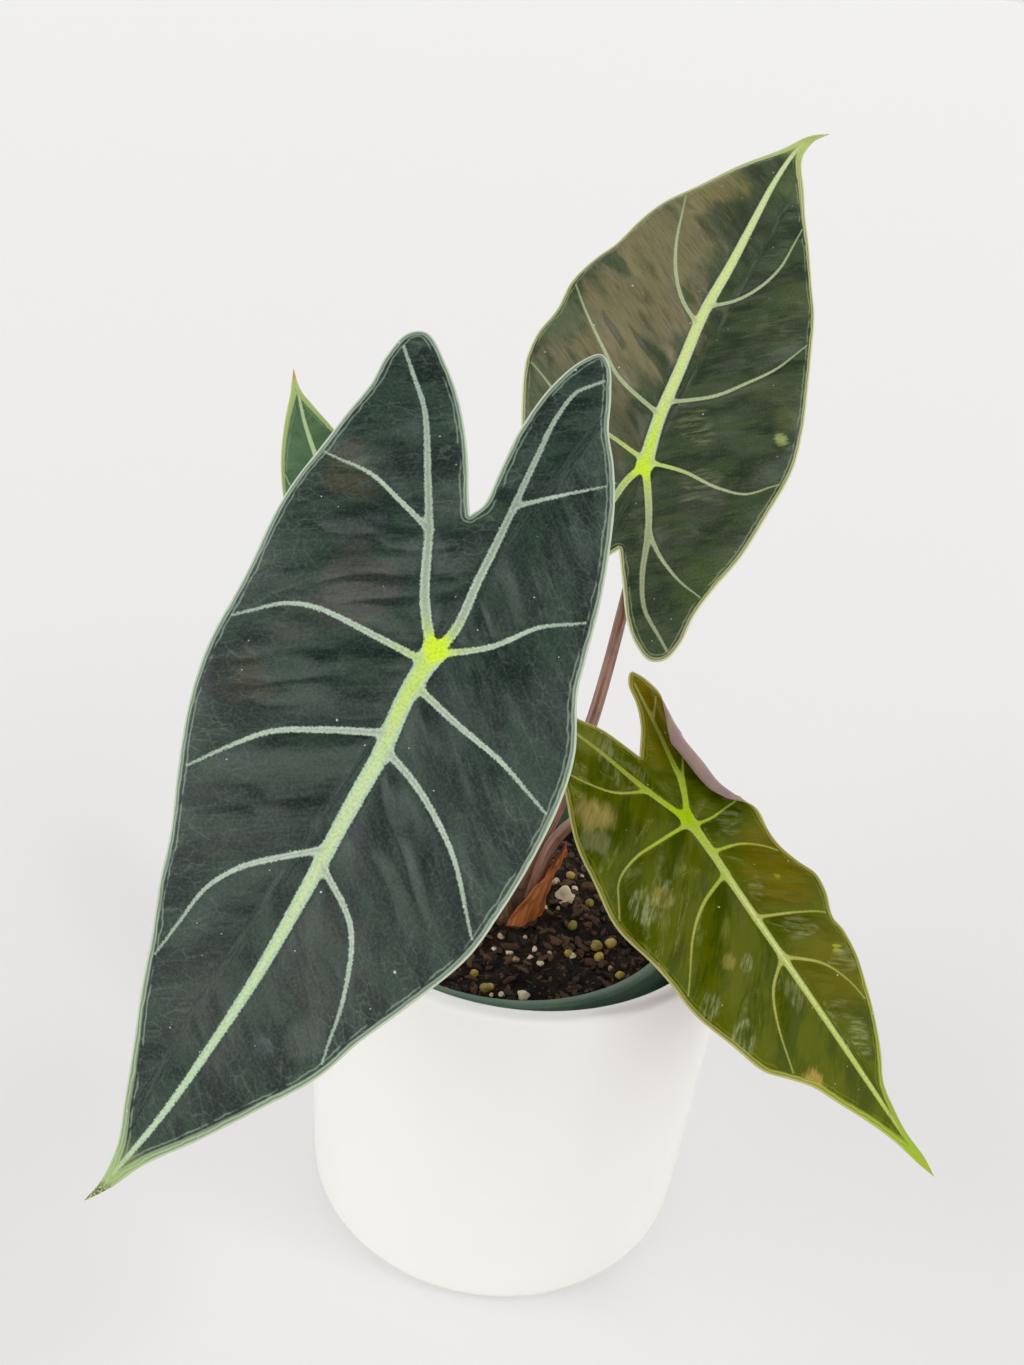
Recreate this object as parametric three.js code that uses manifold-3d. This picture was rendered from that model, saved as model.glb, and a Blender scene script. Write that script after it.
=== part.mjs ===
// Potted dragon tooth alocasia: four arrow-shaped leaves in a dark green nursery pot,
// which stands in a white glazed outer pot. Millimetres, +Z up. The origin is the centre
// of the outer pot's foot, and -Y is the side the plant is seen from.
import * as THREE from 'three';
import { mergeVertices } from 'three/addons/utils/BufferGeometryUtils.js';
import Module from 'manifold-3d';

const wasm = await Module();
wasm.setup();

// Driving dimensions
const ROUND_SIDES = 48;
const SEAT_GAP = 0.3;

const OUTER_POT = {
  height: 111, footRadius: 56, topRadius: 60, footFillet: 5, rimWall: 5, floor: 6, innerFillet: 4,
};

const NURSERY_POT = {
  centreX: -4.2, height: 99.4, rimRadius: 50, lipWidth: 3, collarHeight: 14, shoulderRadius: 47,
  footRadius: 37, wall: 1.4, floor: 2, drainHoles: 6, drainRadius: 4, drainCircle: 26,
};

const SOIL = { top: 97, rings: 12, sides: 36, lumps: 60, lumpHeight: 2.6, crownHoleDepth: 14 };

const CROWN = { x: -2.5, y: -3, radius: 7, top: 104, bottom: 84, stalkCircle: 3.5, stalkStart: 95 };

const BLADE = { thickness: 0.8, rings: [0.3, 0.55, 0.76, 0.9, 1] };

// The midrib stands proud of both faces, and the side veins of the lower face only.
const MIDRIB = { radius: 1.6, tipShare: 0.35, sides: 6, proud: 0.3 };
const SIDE_VEIN = { radius: 0.8, tipShare: 0.4, sides: 3, proud: 0 };

const SHEATH = {
  thickness: 0.8, foot: 99.5, height: 22, footRadius: 7.8, topRadius: 5,
  azimuth: -33, sweep: 136, leanX: 7.3, leanY: 3.6, columns: 9, rows: 7,
};

// A leaf's outline and veins are in its own frame: the petiole joint is the origin, x runs
// to the tip, y to the left of the midrib and z out of the upper face. Both margins run
// from the tip to the bottom of the sinus. Bow is the fall of the blade per square mm.
const LEAVES = {
  front: {
    joint: [-26.4, -63.2, 210.3], heading: -129, pitch: -42, roll: -26,
    tipBow: 0.0017, lobeBow: 0.0016, leftSag: 0, halfWidth: 42, ripple: 0.9, rippleLength: 34,
    right: [[132, 0], [126, 1], [117.5, 0], [110, -3], [98, -8], [88, -12.5], [78, -16.5],
      [68, -21], [59, -24.5], [48, -30.5], [37, -35.5], [21, -40.5], [4, -42.5], [-16, -46],
      [-31, -45.5], [-42, -45.5], [-51, -47.5], [-58, -47], [-60.5, -43.5], [-56, -35],
      [-50, -27.5], [-40, -18.5], [-33, -13.5], [-29.5, -10.8]],
    left: [[132, 0], [126, 3.5], [118, 7], [107, 14], [94, 21.5], [82, 28], [72, 31],
      [60, 35.5], [46, 40], [35, 40.5], [23, 40], [11, 38.5], [1, 35.5], [-10, 29],
      [-17, 26.5], [-28.5, 22.5], [-41, 17], [-50, 12.3], [-57, 7.5], [-63, 2.5], [-71, -2],
      [-77.5, -6.5], [-79, -9.5], [-75, -12], [-65, -13.8], [-52, -13.3], [-29.5, -10.8]],
    midrib: [[0, 0], [11, 0.7], [22, 2.8], [34, 3.8], [51, 5.3], [72, 6.5], [93, 6], [107, 5],
      [120, 3], [127, 1.6]],
    veins: [
      [[0, 0], [-9, -8], [-22, -16], [-31, -22.5], [-44, -32.5], [-51, -41]],
      [[-22, -16], [-24, -25], [-25.5, -33], [-24.5, -42]],
      [[0, 0], [-7, 1], [-18, -1], [-30, -3], [-48, -6.5], [-59, -8.5], [-67, -8.5], [-70, -7]],
      [[-37, -3.5], [-43, 1.5], [-48, 6]],
      [[2, 0], [3, -11], [5, -26], [8, -32], [13, -37]],
      [[18, 2], [25, -10], [31, -18.5], [38, -24], [44, -28]],
      [[44, 4.5], [51, -3], [57, -8.5], [64, -12], [73, -13]],
      [[0, 0], [-8, 9], [-17, 15], [-22, 21]],
      [[7, 0.5], [9, 12], [10.5, 24], [13.5, 35]],
      [[21, 2.5], [24, 13], [31, 26], [41, 37]],
      [[47, 5], [54, 17], [66, 23.5], [77, 26.5]],
    ],
  },
  back: {
    joint: [21.7, 66.6, 207.7], heading: 64.1, pitch: 36, roll: 12,
    tipBow: 0.0006, lobeBow: 0.0015, leftSag: 0, halfWidth: 42, ripple: 0.8, rippleLength: 38,
    right: [[150.7, 0], [148, 1.5], [145, 3], [140.5, 3.7], [135, 3.6], [129, 1.7], [122, -1.6],
      [109, -7], [97, -12.7], [81, -19.7], [72, -23.8], [58, -28.3], [43, -32.7], [29, -36.5],
      [17, -38.5], [0, -37.8], [-15, -36.2], [-28, -33], [-37, -31.5], [-46, -31.3],
      [-51.5, -29.4], [-53.4, -25.5], [-51, -20.5], [-46, -15.5], [-37, -10], [-27.6, -4.5]],
    left: [[150.7, 0], [146.5, 5.2], [135, 11.5], [122, 20], [107, 28.5], [96, 34.7], [84, 38.5],
      [72, 41.5], [63, 45], [50, 47], [39, 46.6], [29.5, 48.3], [20, 47.2], [12, 44.6],
      [2, 40.3], [-12, 34], [-26, 30], [-40, 27], [-50, 22.5], [-53.5, 17], [-51, 11],
      [-44, 5], [-36, 0.5], [-27.6, -4.5]],
    midrib: [[0, 0], [15, 2.6], [34, 4.2], [57, 6.2], [79, 6.2], [98, 6.8], [120, 7.4],
      [137, 6.5], [144, 4.6]],
    veins: [
      [[0, 0], [-11, -6], [-19, -9.5], [-33, -14], [-41, -18.5], [-47, -26]],
      [[-19.5, -10], [-25, -16], [-29.5, -24], [-31, -29]],
      [[0, 0], [-7, 2.5], [-17, 4], [-28, 8], [-38, 13], [-47, 17.5]],
      [[-18, 4], [-23, 11], [-27, 19], [-29, 26]],
      [[1, 0], [5, 15], [8, 28], [16, 42]],
      [[17, 3], [24, 19], [33, 29], [43, 39.5], [48, 44]],
      [[52, 6], [59, 14], [69, 20.5], [80, 25], [95, 29]],
      [[1, 0], [2.5, -11], [1.6, -21], [3, -29.5], [9, -35.5]],
      [[22, 3], [30, -8.5], [38, -15], [47, -21], [57, -25]],
      [[60, 6], [66, -0.5], [74, -5], [84, -7.7], [99, -8]],
    ],
  },
  right: {
    joint: [37.6, -24.1, 149.6], heading: -39.9, pitch: -30, roll: 15,
    tipBow: 0.001, lobeBow: 0.001, leftSag: 0, halfWidth: 28, ripple: 0.8, rippleLength: 26,
    curl: { radius: 2.4, line: [[14, 17.5], [8, 14], [2, 11.2], [-3, 10.4], [-10, 10.2],
      [-18, 9.6], [-27, 12], [-34, 14.4], [-40, 15.4]] },
    right: [[102, 0], [96.5, -2], [90, -4], [83, -7], [75, -11.2], [68, -14.7], [63, -18.8],
      [58, -23.3], [50.5, -26.3], [40, -29.2], [31, -30.4], [22, -32], [12, -33], [1.5, -32],
      [-7, -30], [-15.5, -26.2], [-24, -22], [-34, -18.5], [-42, -15.5], [-45, -12],
      [-43, -9], [-37, -6.5], [-31, -3], [-20, 0.5]],
    left: [[102, 0], [97, 0.5], [90, 0], [84, 0.7], [78, 2.2], [72, 6.5], [65, 10.5], [57, 14],
      [50.5, 16.7], [44, 17.8], [40, 17.3], [34.5, 19.7], [29, 20.6], [24.5, 19], [18, 17.3],
      [12, 17.4], [6, 18.6], [0, 19.8], [-8, 20.1], [-16, 19.4], [-24, 19], [-32, 17.6],
      [-38, 16.4], [-40.4, 15], [-38, 12], [-32, 9.8], [-26.5, 6.5], [-20, 0.5]],
    midrib: [[0, 0], [9, -0.2], [20, -1], [42, -1.6], [61, -1.7], [79, -1.6], [93, -1.2],
      [98, -0.7]],
    veins: [
      [[0, 0], [-7.5, -2.8], [-17, -5.5], [-28, -8.2], [-41, -12]],
      [[-11.5, -4.3], [-15.6, -11.6], [-21, -16], [-26, -19]],
      [[0, 0], [-8, 5], [-17, 7.7], [-27, 10.6], [-36, 13]],
      [[1, 0], [0.5, -11], [0.6, -19], [3, -26], [8.5, -30]],
      [[16, -0.5], [19, -11], [24, -19], [33, -27.5]],
      [[40, -1.5], [45, -9], [52, -13.5], [62, -16.8]],
      [[2, 0], [3, 6], [3, 9.5]],
      [[10, 0], [12.4, 8], [16, 13], [19, 15.8]],
      [[29, -1], [33, 7.6], [36.5, 14], [38, 16]],
      [[40, -1.5], [47.5, 7], [54, 10], [60, 11]],
    ],
  },
  far: {
    joint: [-46, 40.3, 156.6], heading: 121.2, pitch: 29.6, roll: -16.2,
    tipBow: 0.0008, lobeBow: 0.0015, leftSag: 0.008, halfWidth: 20, ripple: 0.5, rippleLength: 30,
    right: [[110.8, -5.3], [105.3, -4.7], [99.9, -4.6], [93.5, -5.9], [85.4, -7.9], [74.5, -10.9],
      [62, -15.5], [47, -20], [31, -22.5], [15, -23], [0, -22], [-13, -20.5], [-25, -19],
      [-34, -17.5], [-39, -15], [-39, -11], [-35, -7], [-27, -3], [-21, 0]],
    left: [[110.8, -5.3], [105.3, -3.1], [99.9, -1], [93.5, 2], [85.4, 5.6], [74.5, 9.7],
      [62, 13], [47, 15.4], [31, 16.7], [15, 17], [0, 16.5], [-13, 16], [-25, 15.5],
      [-34, 14], [-39, 11.5], [-39, 8], [-35, 5], [-27, 2], [-21, 0]],
    midrib: [[0, 0], [20, 0], [45, 0], [65, -0.3], [85, -1.4], [98, -3.2], [105, -4.2]],
    veins: [
      [[0, 0], [-12, -5], [-24, -9], [-35, -12.5]],
      [[0, 0], [-12, 4.5], [-24, 8], [-35, 10.5]],
      [[1, 0], [4, 8], [9, 15]],
      [[14, 0], [21, 7], [31, 12], [39, 14]],
      [[38, 0], [46, 6], [57, 9.5], [68, 10.5]],
      [[1, 0], [2, -12], [6, -21]],
      [[17, 0], [24, -10], [34, -16.5], [44, -19]],
      [[42, 0], [50, -8], [62, -12.5], [73, -10.5]],
    ],
  },
};

// Each petiole rises from its own side of the crown and bends in under its leaf's joint.
// Its via points are chosen by hand; radii run from the crown to the leaf.
const STALKS = {
  right: { azimuth: -10, radii: [2, 1.5], via: [[2.8, -2.5, 108], [6.5, 0.5, 121], [14, 0, 131],
    [24, -8, 139], [32, -16, 142.5]] },
  back: { azimuth: 75, radii: [2.3, 1.6], via: [[0, 4, 107], [7, 12.5, 124], [14, 27, 144],
    [20, 49, 169.5], [22.8, 62, 187], [23.2, 68, 198]] },
  far: { azimuth: 158, radii: [2, 1.5], via: [[-7.5, -1, 107], [-12, 6, 120], [-21, 19, 135],
    [-36, 33, 144], [-45.5, 43, 149]] },
  front: { azimuth: 245, radii: [2.3, 1.8], via: [[-6.5, -9, 110], [-9, -15, 130],
    [-14, -25, 160], [-20, -42, 190], [-25.5, -55, 202.5]] },
};

const COLOURS = {
  glaze: { color: 0xf1f0ec, roughness: 0.18 },
  plastic: { color: 0x2c4438, roughness: 0.42 },
  soil: { color: 0x2a1a12, roughness: 0.98 },
  crown: { color: 0x6b4a34, roughness: 0.75 },
  sheath: { color: 0xa8561c, roughness: 0.8 },
  stalk: { color: 0x8c6a58, roughness: 0.55 },
  darkLeaf: { color: 0x2c3d36, roughness: 0.5 },
  oliveLeaf: { color: 0x37422a, roughness: 0.42 },
  brightLeaf: { color: 0x55600f, roughness: 0.28 },
  farLeaf: { color: 0x3d5239, roughness: 0.5 },
};

const radians = THREE.MathUtils.degToRad;

// Closed meshes and solids

/** Merge shared corners, drop collapsed triangles and make the faces point out. */
function closed(geometry) {
  const bare = new THREE.BufferGeometry();
  bare.setAttribute('position', geometry.getAttribute('position'));
  bare.setIndex(geometry.getIndex());
  const merged = mergeVertices(bare, 1e-4);
  const point = merged.getAttribute('position');
  const source = merged.getIndex().array;
  const corner = [new THREE.Vector3(), new THREE.Vector3(), new THREE.Vector3()];
  const kept = [];
  let volume = 0;
  for (let i = 0; i < source.length; i += 3) {
    const [a, b, c] = source.slice(i, i + 3);
    if (a === b || b === c || c === a) continue;
    kept.push([a, b, c]);
    [a, b, c].forEach((index, k) => corner[k].fromBufferAttribute(point, index));
    volume += corner[0].dot(corner[1].cross(corner[2]));
  }
  if (volume < 0) kept.forEach((triangle) => triangle.reverse());
  merged.setIndex(kept.flat());
  return merged;
}

function meshFrom(points, triangles) {
  const geometry = new THREE.BufferGeometry();
  const flat = points.flatMap((point) => [point.x, point.y, point.z]);
  geometry.setAttribute('position', new THREE.Float32BufferAttribute(flat, 3));
  geometry.setIndex(triangles.flat());
  return closed(geometry);
}

function solidFrom(geometry) {
  return new wasm.Manifold(new wasm.Mesh({
    numProp: 3,
    vertProperties: new Float32Array(geometry.getAttribute('position').array),
    triVerts: new Uint32Array(geometry.getIndex().array),
  }));
}

function geometryFrom(solid) {
  const mesh = solid.getMesh();
  const geometry = new THREE.BufferGeometry();
  geometry.setAttribute('position', new THREE.BufferAttribute(mesh.vertProperties, 3));
  geometry.setIndex(new THREE.BufferAttribute(mesh.triVerts, 1));
  return geometry;
}

/** The largest single body of a cut solid; the scraps on the far side of a cut are dropped. */
function mainBody(solid) {
  return solid.decompose().reduce((best, body) => (body.volume() > best.volume() ? body : best));
}

/** Turn a profile of radius and height, which starts and ends on the axis, round Z. */
function turned(path, sides, curvePoints = 4) {
  const profile = path.getPoints(curvePoints);
  return closed(new THREE.LatheGeometry(profile, sides).rotateX(Math.PI / 2));
}

/** Skin a row of rings that have the same number of corners, closed by a fan at each end. */
function loft(rings) {
  const count = rings[0].length;
  const points = rings.flat();
  const triangles = [];
  for (let row = 0; row < rings.length - 1; row += 1) {
    for (let i = 0; i < count; i += 1) {
      const a = row * count + i;
      const b = row * count + ((i + 1) % count);
      triangles.push([a, b, a + count], [b, b + count, a + count]);
    }
  }
  [0, rings.length - 1].forEach((row) => {
    const hub = points.length;
    const centre = new THREE.Vector3();
    rings[row].forEach((point) => centre.addScaledVector(point, 1 / count));
    points.push(centre);
    for (let i = 0; i < count; i += 1) {
      const pair = [row * count + i, row * count + ((i + 1) % count)];
      triangles.push(row === 0 ? [hub, pair[1], pair[0]] : [hub, pair[0], pair[1]]);
    }
  });
  return meshFrom(points, triangles);
}

/** A ring of corners round a point, in the plane of two directions; the first one is lowest. */
function ringAround(centre, across, up, radius, sides) {
  return Array.from({ length: sides }, (_, i) => {
    const turn = (2 * Math.PI * i) / sides - Math.PI / 2;
    return centre.clone()
      .addScaledVector(across, radius * Math.cos(turn))
      .addScaledVector(up, radius * Math.sin(turn));
  });
}

/** How far a ring moves along its rod when the rod is made fuller, so that both ends grow too. */
function endShift(share, grow) {
  return grow * (2 * share - 1);
}

/** A round stalk along a smooth curve through the points, tapering from one radius to the other. */
function stalkGeometry(points, radii, sides, steps, grow = 0) {
  const curve = new THREE.CatmullRomCurve3(points, false, 'centripetal');
  const frames = curve.computeFrenetFrames(steps);
  const rings = [];
  for (let i = 0; i <= steps; i += 1) {
    const share = i / steps;
    const radius = THREE.MathUtils.lerp(radii[0], radii[1], Math.sqrt(share)) + grow;
    const centre = curve.getPointAt(share).addScaledVector(frames.tangents[i], endShift(share, grow));
    rings.push(ringAround(centre, frames.normals[i], frames.binormals[i], radius, sides));
  }
  return loft(rings);
}

/** A numbered source of repeatable random values between 0 and 1. */
function seeded(seed) {
  let state = seed;
  return () => {
    state = (state * 1664525 + 1013904223) % 4294967296;
    return state / 4294967296;
  };
}

// Leaves

/** Place of the curl's crease at a station along the leaf, or null where the margin lies flat. */
function creaseAt(curl, x) {
  const line = curl.line;
  for (let i = 0; i < line.length - 1; i += 1) {
    const [x0, y0] = line[i];
    const [x1, y1] = line[i + 1];
    if (x <= x0 && x >= x1) return THREE.MathUtils.lerp(y0, y1, (x0 - x) / (x0 - x1));
  }
  return null;
}

/** The middle surface of a blade, in the leaf's frame, over a point of its flat outline. */
function bladeMiddle(leaf, x, y) {
  const bow = x > 0 ? leaf.tipBow : leaf.lobeBow;
  const sag = leaf.leftSag * (y > 0 ? 1 : 0.3);
  const side = y > 0 ? 0 : 2;
  const wave = leaf.ripple * (y / leaf.halfWidth) ** 2
    * Math.sin((2 * Math.PI * x) / leaf.rippleLength + side);
  const flatHeight = (across) => -bow * x * x - sag * across * across + wave;
  const crease = leaf.curl ? creaseAt(leaf.curl, x) : null;
  if (crease === null || y <= crease) return new THREE.Vector3(x, y, flatHeight(y));
  const turn = (y - crease) / leaf.curl.radius;
  const out = leaf.curl.radius * Math.sin(turn);
  const rise = leaf.curl.radius * (1 - Math.cos(turn));
  return new THREE.Vector3(x, crease + out, flatHeight(crease) + rise);
}

/** A point at a signed distance from the middle surface, with the surface's upward normal. */
function bladePoint(leaf, x, y, lift) {
  const step = 0.05;
  const along = bladeMiddle(leaf, x + step, y).sub(bladeMiddle(leaf, x - step, y));
  const across = bladeMiddle(leaf, x, y + step).sub(bladeMiddle(leaf, x, y - step));
  const normal = along.cross(across).normalize();
  return { point: bladeMiddle(leaf, x, y).addScaledVector(normal, lift), normal };
}

/** Shares of the way from the joint to a margin point at which the blade has a ring. */
function ringShares(leaf, [x, y]) {
  if (!leaf.curl) return BLADE.rings;
  const isFolded = (share) => {
    const crease = creaseAt(leaf.curl, x * share);
    return crease !== null && y * share > crease;
  };
  let fold = 0.86;
  while (isFolded(fold)) fold -= 0.01;
  const flat = [0.4, 0.75, 1].map((share) => share * fold);
  const rolled = [0.3, 0.65, 1].map((share) => THREE.MathUtils.lerp(fold, 1, share));
  return [...flat, ...rolled];
}

/** The blade as a thin plate: rings of the outline drawn in towards the petiole joint. */
function bladeGeometry(leaf, thickness) {
  const margin = [...leaf.left.slice(0, -1), ...leaf.right.slice().reverse().slice(0, -1)];
  const shares = margin.map((point) => ringShares(leaf, point));
  const rings = shares[0].length;
  const points = [];
  const triangles = [];
  const faces = [thickness / 2, -thickness / 2].map((lift) => {
    const first = points.length;
    points.push(bladePoint(leaf, 0, 0, lift).point);
    for (let ring = 0; ring < rings; ring += 1) {
      margin.forEach(([x, y], i) => {
        const share = shares[i][ring];
        points.push(bladePoint(leaf, x * share, y * share, lift).point);
      });
    }
    return { first, turn: lift > 0 ? 1 : -1 };
  });
  const count = margin.length;
  const push = (triangle, turn) => triangles.push(turn > 0 ? triangle : triangle.reverse());
  faces.forEach(({ first, turn }) => {
    for (let i = 0; i < count; i += 1) {
      const next = (i + 1) % count;
      push([first, first + 1 + i, first + 1 + next], turn);
      for (let ring = 0; ring < rings - 1; ring += 1) {
        const inner = first + 1 + ring * count;
        const outer = inner + count;
        push([inner + i, outer + i, outer + next], turn);
        push([inner + i, outer + next, inner + next], turn);
      }
    }
  });
  const edge = 1 + (rings - 1) * count;
  for (let i = 0; i < count; i += 1) {
    const next = (i + 1) % count;
    const [top, bottom] = faces.map(({ first }) => first + edge);
    triangles.push([top + i, bottom + i, bottom + next], [top + i, bottom + next, top + next]);
  }
  return meshFrom(points, triangles);
}

/** A rib along a vein, thinning to its far end, with its back at the kind's height. */
function ribGeometry(leaf, route, kind, grow) {
  const flat = new THREE.SplineCurve(route.map(([x, y]) => new THREE.Vector2(x, y)));
  const steps = route.length - 1;
  const widest = kind.radius * THREE.MathUtils.clamp(leaf.halfWidth / 42, 0.7, 1);
  const rings = [];
  for (let i = 0; i <= steps; i += 1) {
    const share = i / steps;
    const radius = widest * THREE.MathUtils.lerp(1, kind.tipShare, share);
    const heading = flat.getTangent(share);
    const at = flat.getPoint(share).addScaledVector(heading, endShift(share, grow));
    const { point, normal } = bladePoint(leaf, at.x, at.y, BLADE.thickness / 2 + kind.proud - radius);
    const across = normal.clone().cross(new THREE.Vector3(heading.x, heading.y, 0)).normalize();
    rings.push(ringAround(point, across, normal, radius + grow, kind.sides));
  }
  return loft(rings);
}

/** Blade, midrib and side veins as one solid; grow makes it fuller, for seating a petiole. */
function leafSolid(leaf, grow = 0) {
  const ribs = [ribGeometry(leaf, leaf.midrib, MIDRIB, grow)];
  leaf.veins.forEach((route) => ribs.push(ribGeometry(leaf, route, SIDE_VEIN, grow)));
  const blade = solidFrom(bladeGeometry(leaf, BLADE.thickness + 2 * grow));
  return ribs.reduce((solid, rib) => solid.add(solidFrom(rib)), blade);
}

function leafPlace(leaf) {
  const turn = new THREE.Euler(radians(leaf.roll), -radians(leaf.pitch), radians(leaf.heading), 'ZYX');
  return { position: new THREE.Vector3(...leaf.joint), turn };
}

// Petioles, crown and dry sheath

function stalkSolid(name, grow = 0) {
  const { azimuth, radii, via } = STALKS[name];
  const foot = new THREE.Vector3(CROWN.x, CROWN.y, CROWN.stalkStart);
  foot.x += CROWN.stalkCircle * Math.cos(radians(azimuth));
  foot.y += CROWN.stalkCircle * Math.sin(radians(azimuth));
  const joint = new THREE.Vector3(...LEAVES[name].joint);
  const points = [foot, ...via.map((point) => new THREE.Vector3(...point)), joint];
  return solidFrom(stalkGeometry(points, radii, 8, 16, grow));
}

/** The petiole, cut to seat just under its leaf's joint. */
function stalkGeometryOf(name) {
  const leaf = LEAVES[name];
  const { position, turn } = leafPlace(leaf);
  const place = new THREE.Matrix4().compose(
    position, new THREE.Quaternion().setFromEuler(turn), new THREE.Vector3(1, 1, 1),
  );
  const seat = leafSolid(leaf, SEAT_GAP).transform(place.elements);
  return geometryFrom(mainBody(stalkSolid(name).subtract(seat)));
}

/** The short stem, with a socket for each petiole. */
function crownGeometry() {
  const { radius, top, bottom, x, y } = CROWN;
  const path = new THREE.Path();
  path.moveTo(0, bottom);
  path.lineTo(radius * 0.8, bottom);
  path.lineTo(radius, bottom + 5);
  path.lineTo(radius, top - 5);
  path.quadraticCurveTo(radius, top, 0, top);
  const body = solidFrom(turned(path, 24).translate(x, y, 0));
  return geometryFrom(Object.keys(STALKS).reduce((solid, name) => (
    solid.subtract(stalkSolid(name, SEAT_GAP))
  ), body));
}

/** Close two grids of points, the faces of a bent sheet, into one plate with a rim. */
function plate(front, back) {
  const rows = front.length;
  const columns = front[0].length;
  const cell = (row, column) => row * columns + column;
  const far = rows * columns;
  const triangles = [];
  for (let row = 0; row < rows - 1; row += 1) {
    for (let column = 0; column < columns - 1; column += 1) {
      const [a, b] = [cell(row, column), cell(row, column + 1)];
      const [c, d] = [cell(row + 1, column), cell(row + 1, column + 1)];
      triangles.push([a, b, d], [a, d, c]);
      triangles.push([far + a, far + d, far + b], [far + a, far + c, far + d]);
    }
  }
  const rim = [];
  for (let column = 0; column < columns - 1; column += 1) rim.push(cell(0, column));
  for (let row = 0; row < rows - 1; row += 1) rim.push(cell(row, columns - 1));
  for (let column = columns - 1; column > 0; column -= 1) rim.push(cell(rows - 1, column));
  for (let row = rows - 1; row > 0; row -= 1) rim.push(cell(row, 0));
  rim.forEach((a, i) => {
    const b = rim[(i + 1) % rim.length];
    triangles.push([b, a, far + a], [b, far + a, far + b]);
  });
  return meshFrom([...front.flat(), ...back.flat()], triangles);
}

/** A dry papery flap, wrapped round the foot of the petioles, leaning with them to its torn top. */
function sheathGeometry() {
  const { thickness, foot, height, columns, rows } = SHEATH;
  const inner = [];
  const outer = [];
  for (let row = 0; row <= rows; row += 1) {
    const rise = row / rows;
    const lean = rise ** 1.4;
    const middle = new THREE.Vector3(CROWN.x + SHEATH.leanX * lean, CROWN.y + SHEATH.leanY * lean, 0);
    const spread = SHEATH.sweep * (1 - 0.65 * rise * rise);
    const radius = THREE.MathUtils.lerp(SHEATH.footRadius, SHEATH.topRadius, rise);
    inner.push([]);
    outer.push([]);
    for (let column = 0; column <= columns; column += 1) {
      const share = column / columns;
      const azimuth = radians(SHEATH.azimuth + spread * (share - 0.5) + 10 * rise);
      const crumple = 0.25 * Math.sin(11 * share + 5 * rise);
      const z = foot + height * rise * (0.8 + 0.2 * share);
      const spoke = new THREE.Vector3(Math.cos(azimuth), Math.sin(azimuth), 0);
      inner[row].push(middle.clone().addScaledVector(spoke, radius + crumple).setZ(z));
      outer[row].push(middle.clone().addScaledVector(spoke, radius + crumple + thickness).setZ(z));
    }
  }
  return plate(inner, outer);
}

// Soil and pots

/** Heights of the potting mix: a gentle dish with rounded bark and perlite lumps on it. */
function soilRelief(radius) {
  const random = seeded(7);
  const lumps = Array.from({ length: SOIL.lumps }, () => {
    const reach = radius * 0.96 * Math.sqrt(random());
    const azimuth = 2 * Math.PI * random();
    const size = 3 + 4 * random();
    const height = SOIL.lumpHeight * (0.4 + 0.6 * random());
    return { x: reach * Math.cos(azimuth), y: reach * Math.sin(azimuth), size, height };
  });
  return (x, y) => {
    const dish = 1.2 * Math.cos((Math.PI * Math.hypot(x, y)) / radius);
    const lump = Math.max(0, ...lumps.map((each) => {
      const off = Math.hypot(x - each.x, y - each.y) / each.size;
      return off < 1 ? each.height * Math.sqrt(1 - off * off) : 0;
    }));
    return dish + lump - 1;
  };
}

function nurseryRadiusAt(z) {
  const { height, collarHeight, shoulderRadius, footRadius } = NURSERY_POT;
  return THREE.MathUtils.lerp(footRadius, shoulderRadius, z / (height - collarHeight));
}

function soilGeometry() {
  const base = OUTER_POT.floor + SEAT_GAP;
  const inside = (z) => nurseryRadiusAt(z - base) - NURSERY_POT.wall - SEAT_GAP;
  const bottom = base + NURSERY_POT.floor + SEAT_GAP;
  const shoulder = base + NURSERY_POT.height - NURSERY_POT.collarHeight;
  const path = new THREE.Path();
  path.moveTo(0, bottom);
  path.lineTo(inside(bottom), bottom);
  path.lineTo(inside(shoulder), shoulder - SEAT_GAP);
  path.lineTo(inside(shoulder), SOIL.top - 3);
  for (let ring = SOIL.rings; ring >= 0; ring -= 1) {
    path.lineTo(inside(shoulder) * (ring / SOIL.rings), SOIL.top);
  }
  const body = turned(path, SOIL.sides);
  const point = body.getAttribute('position');
  const relief = soilRelief(inside(shoulder));
  for (let i = 0; i < point.count; i += 1) {
    if (point.getZ(i) > SOIL.top - 0.01) {
      point.setZ(i, SOIL.top + relief(point.getX(i), point.getY(i)));
    }
  }
  const { x, y, radius } = CROWN;
  const hole = new THREE.CylinderGeometry(radius + SEAT_GAP, radius + SEAT_GAP, 40, 24);
  hole.rotateX(Math.PI / 2).translate(x, y, SOIL.top - SOIL.crownHoleDepth + 20);
  const placed = solidFrom(closed(body.translate(NURSERY_POT.centreX, 0, 0)));
  return geometryFrom(placed.subtract(solidFrom(closed(hole))));
}

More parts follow.
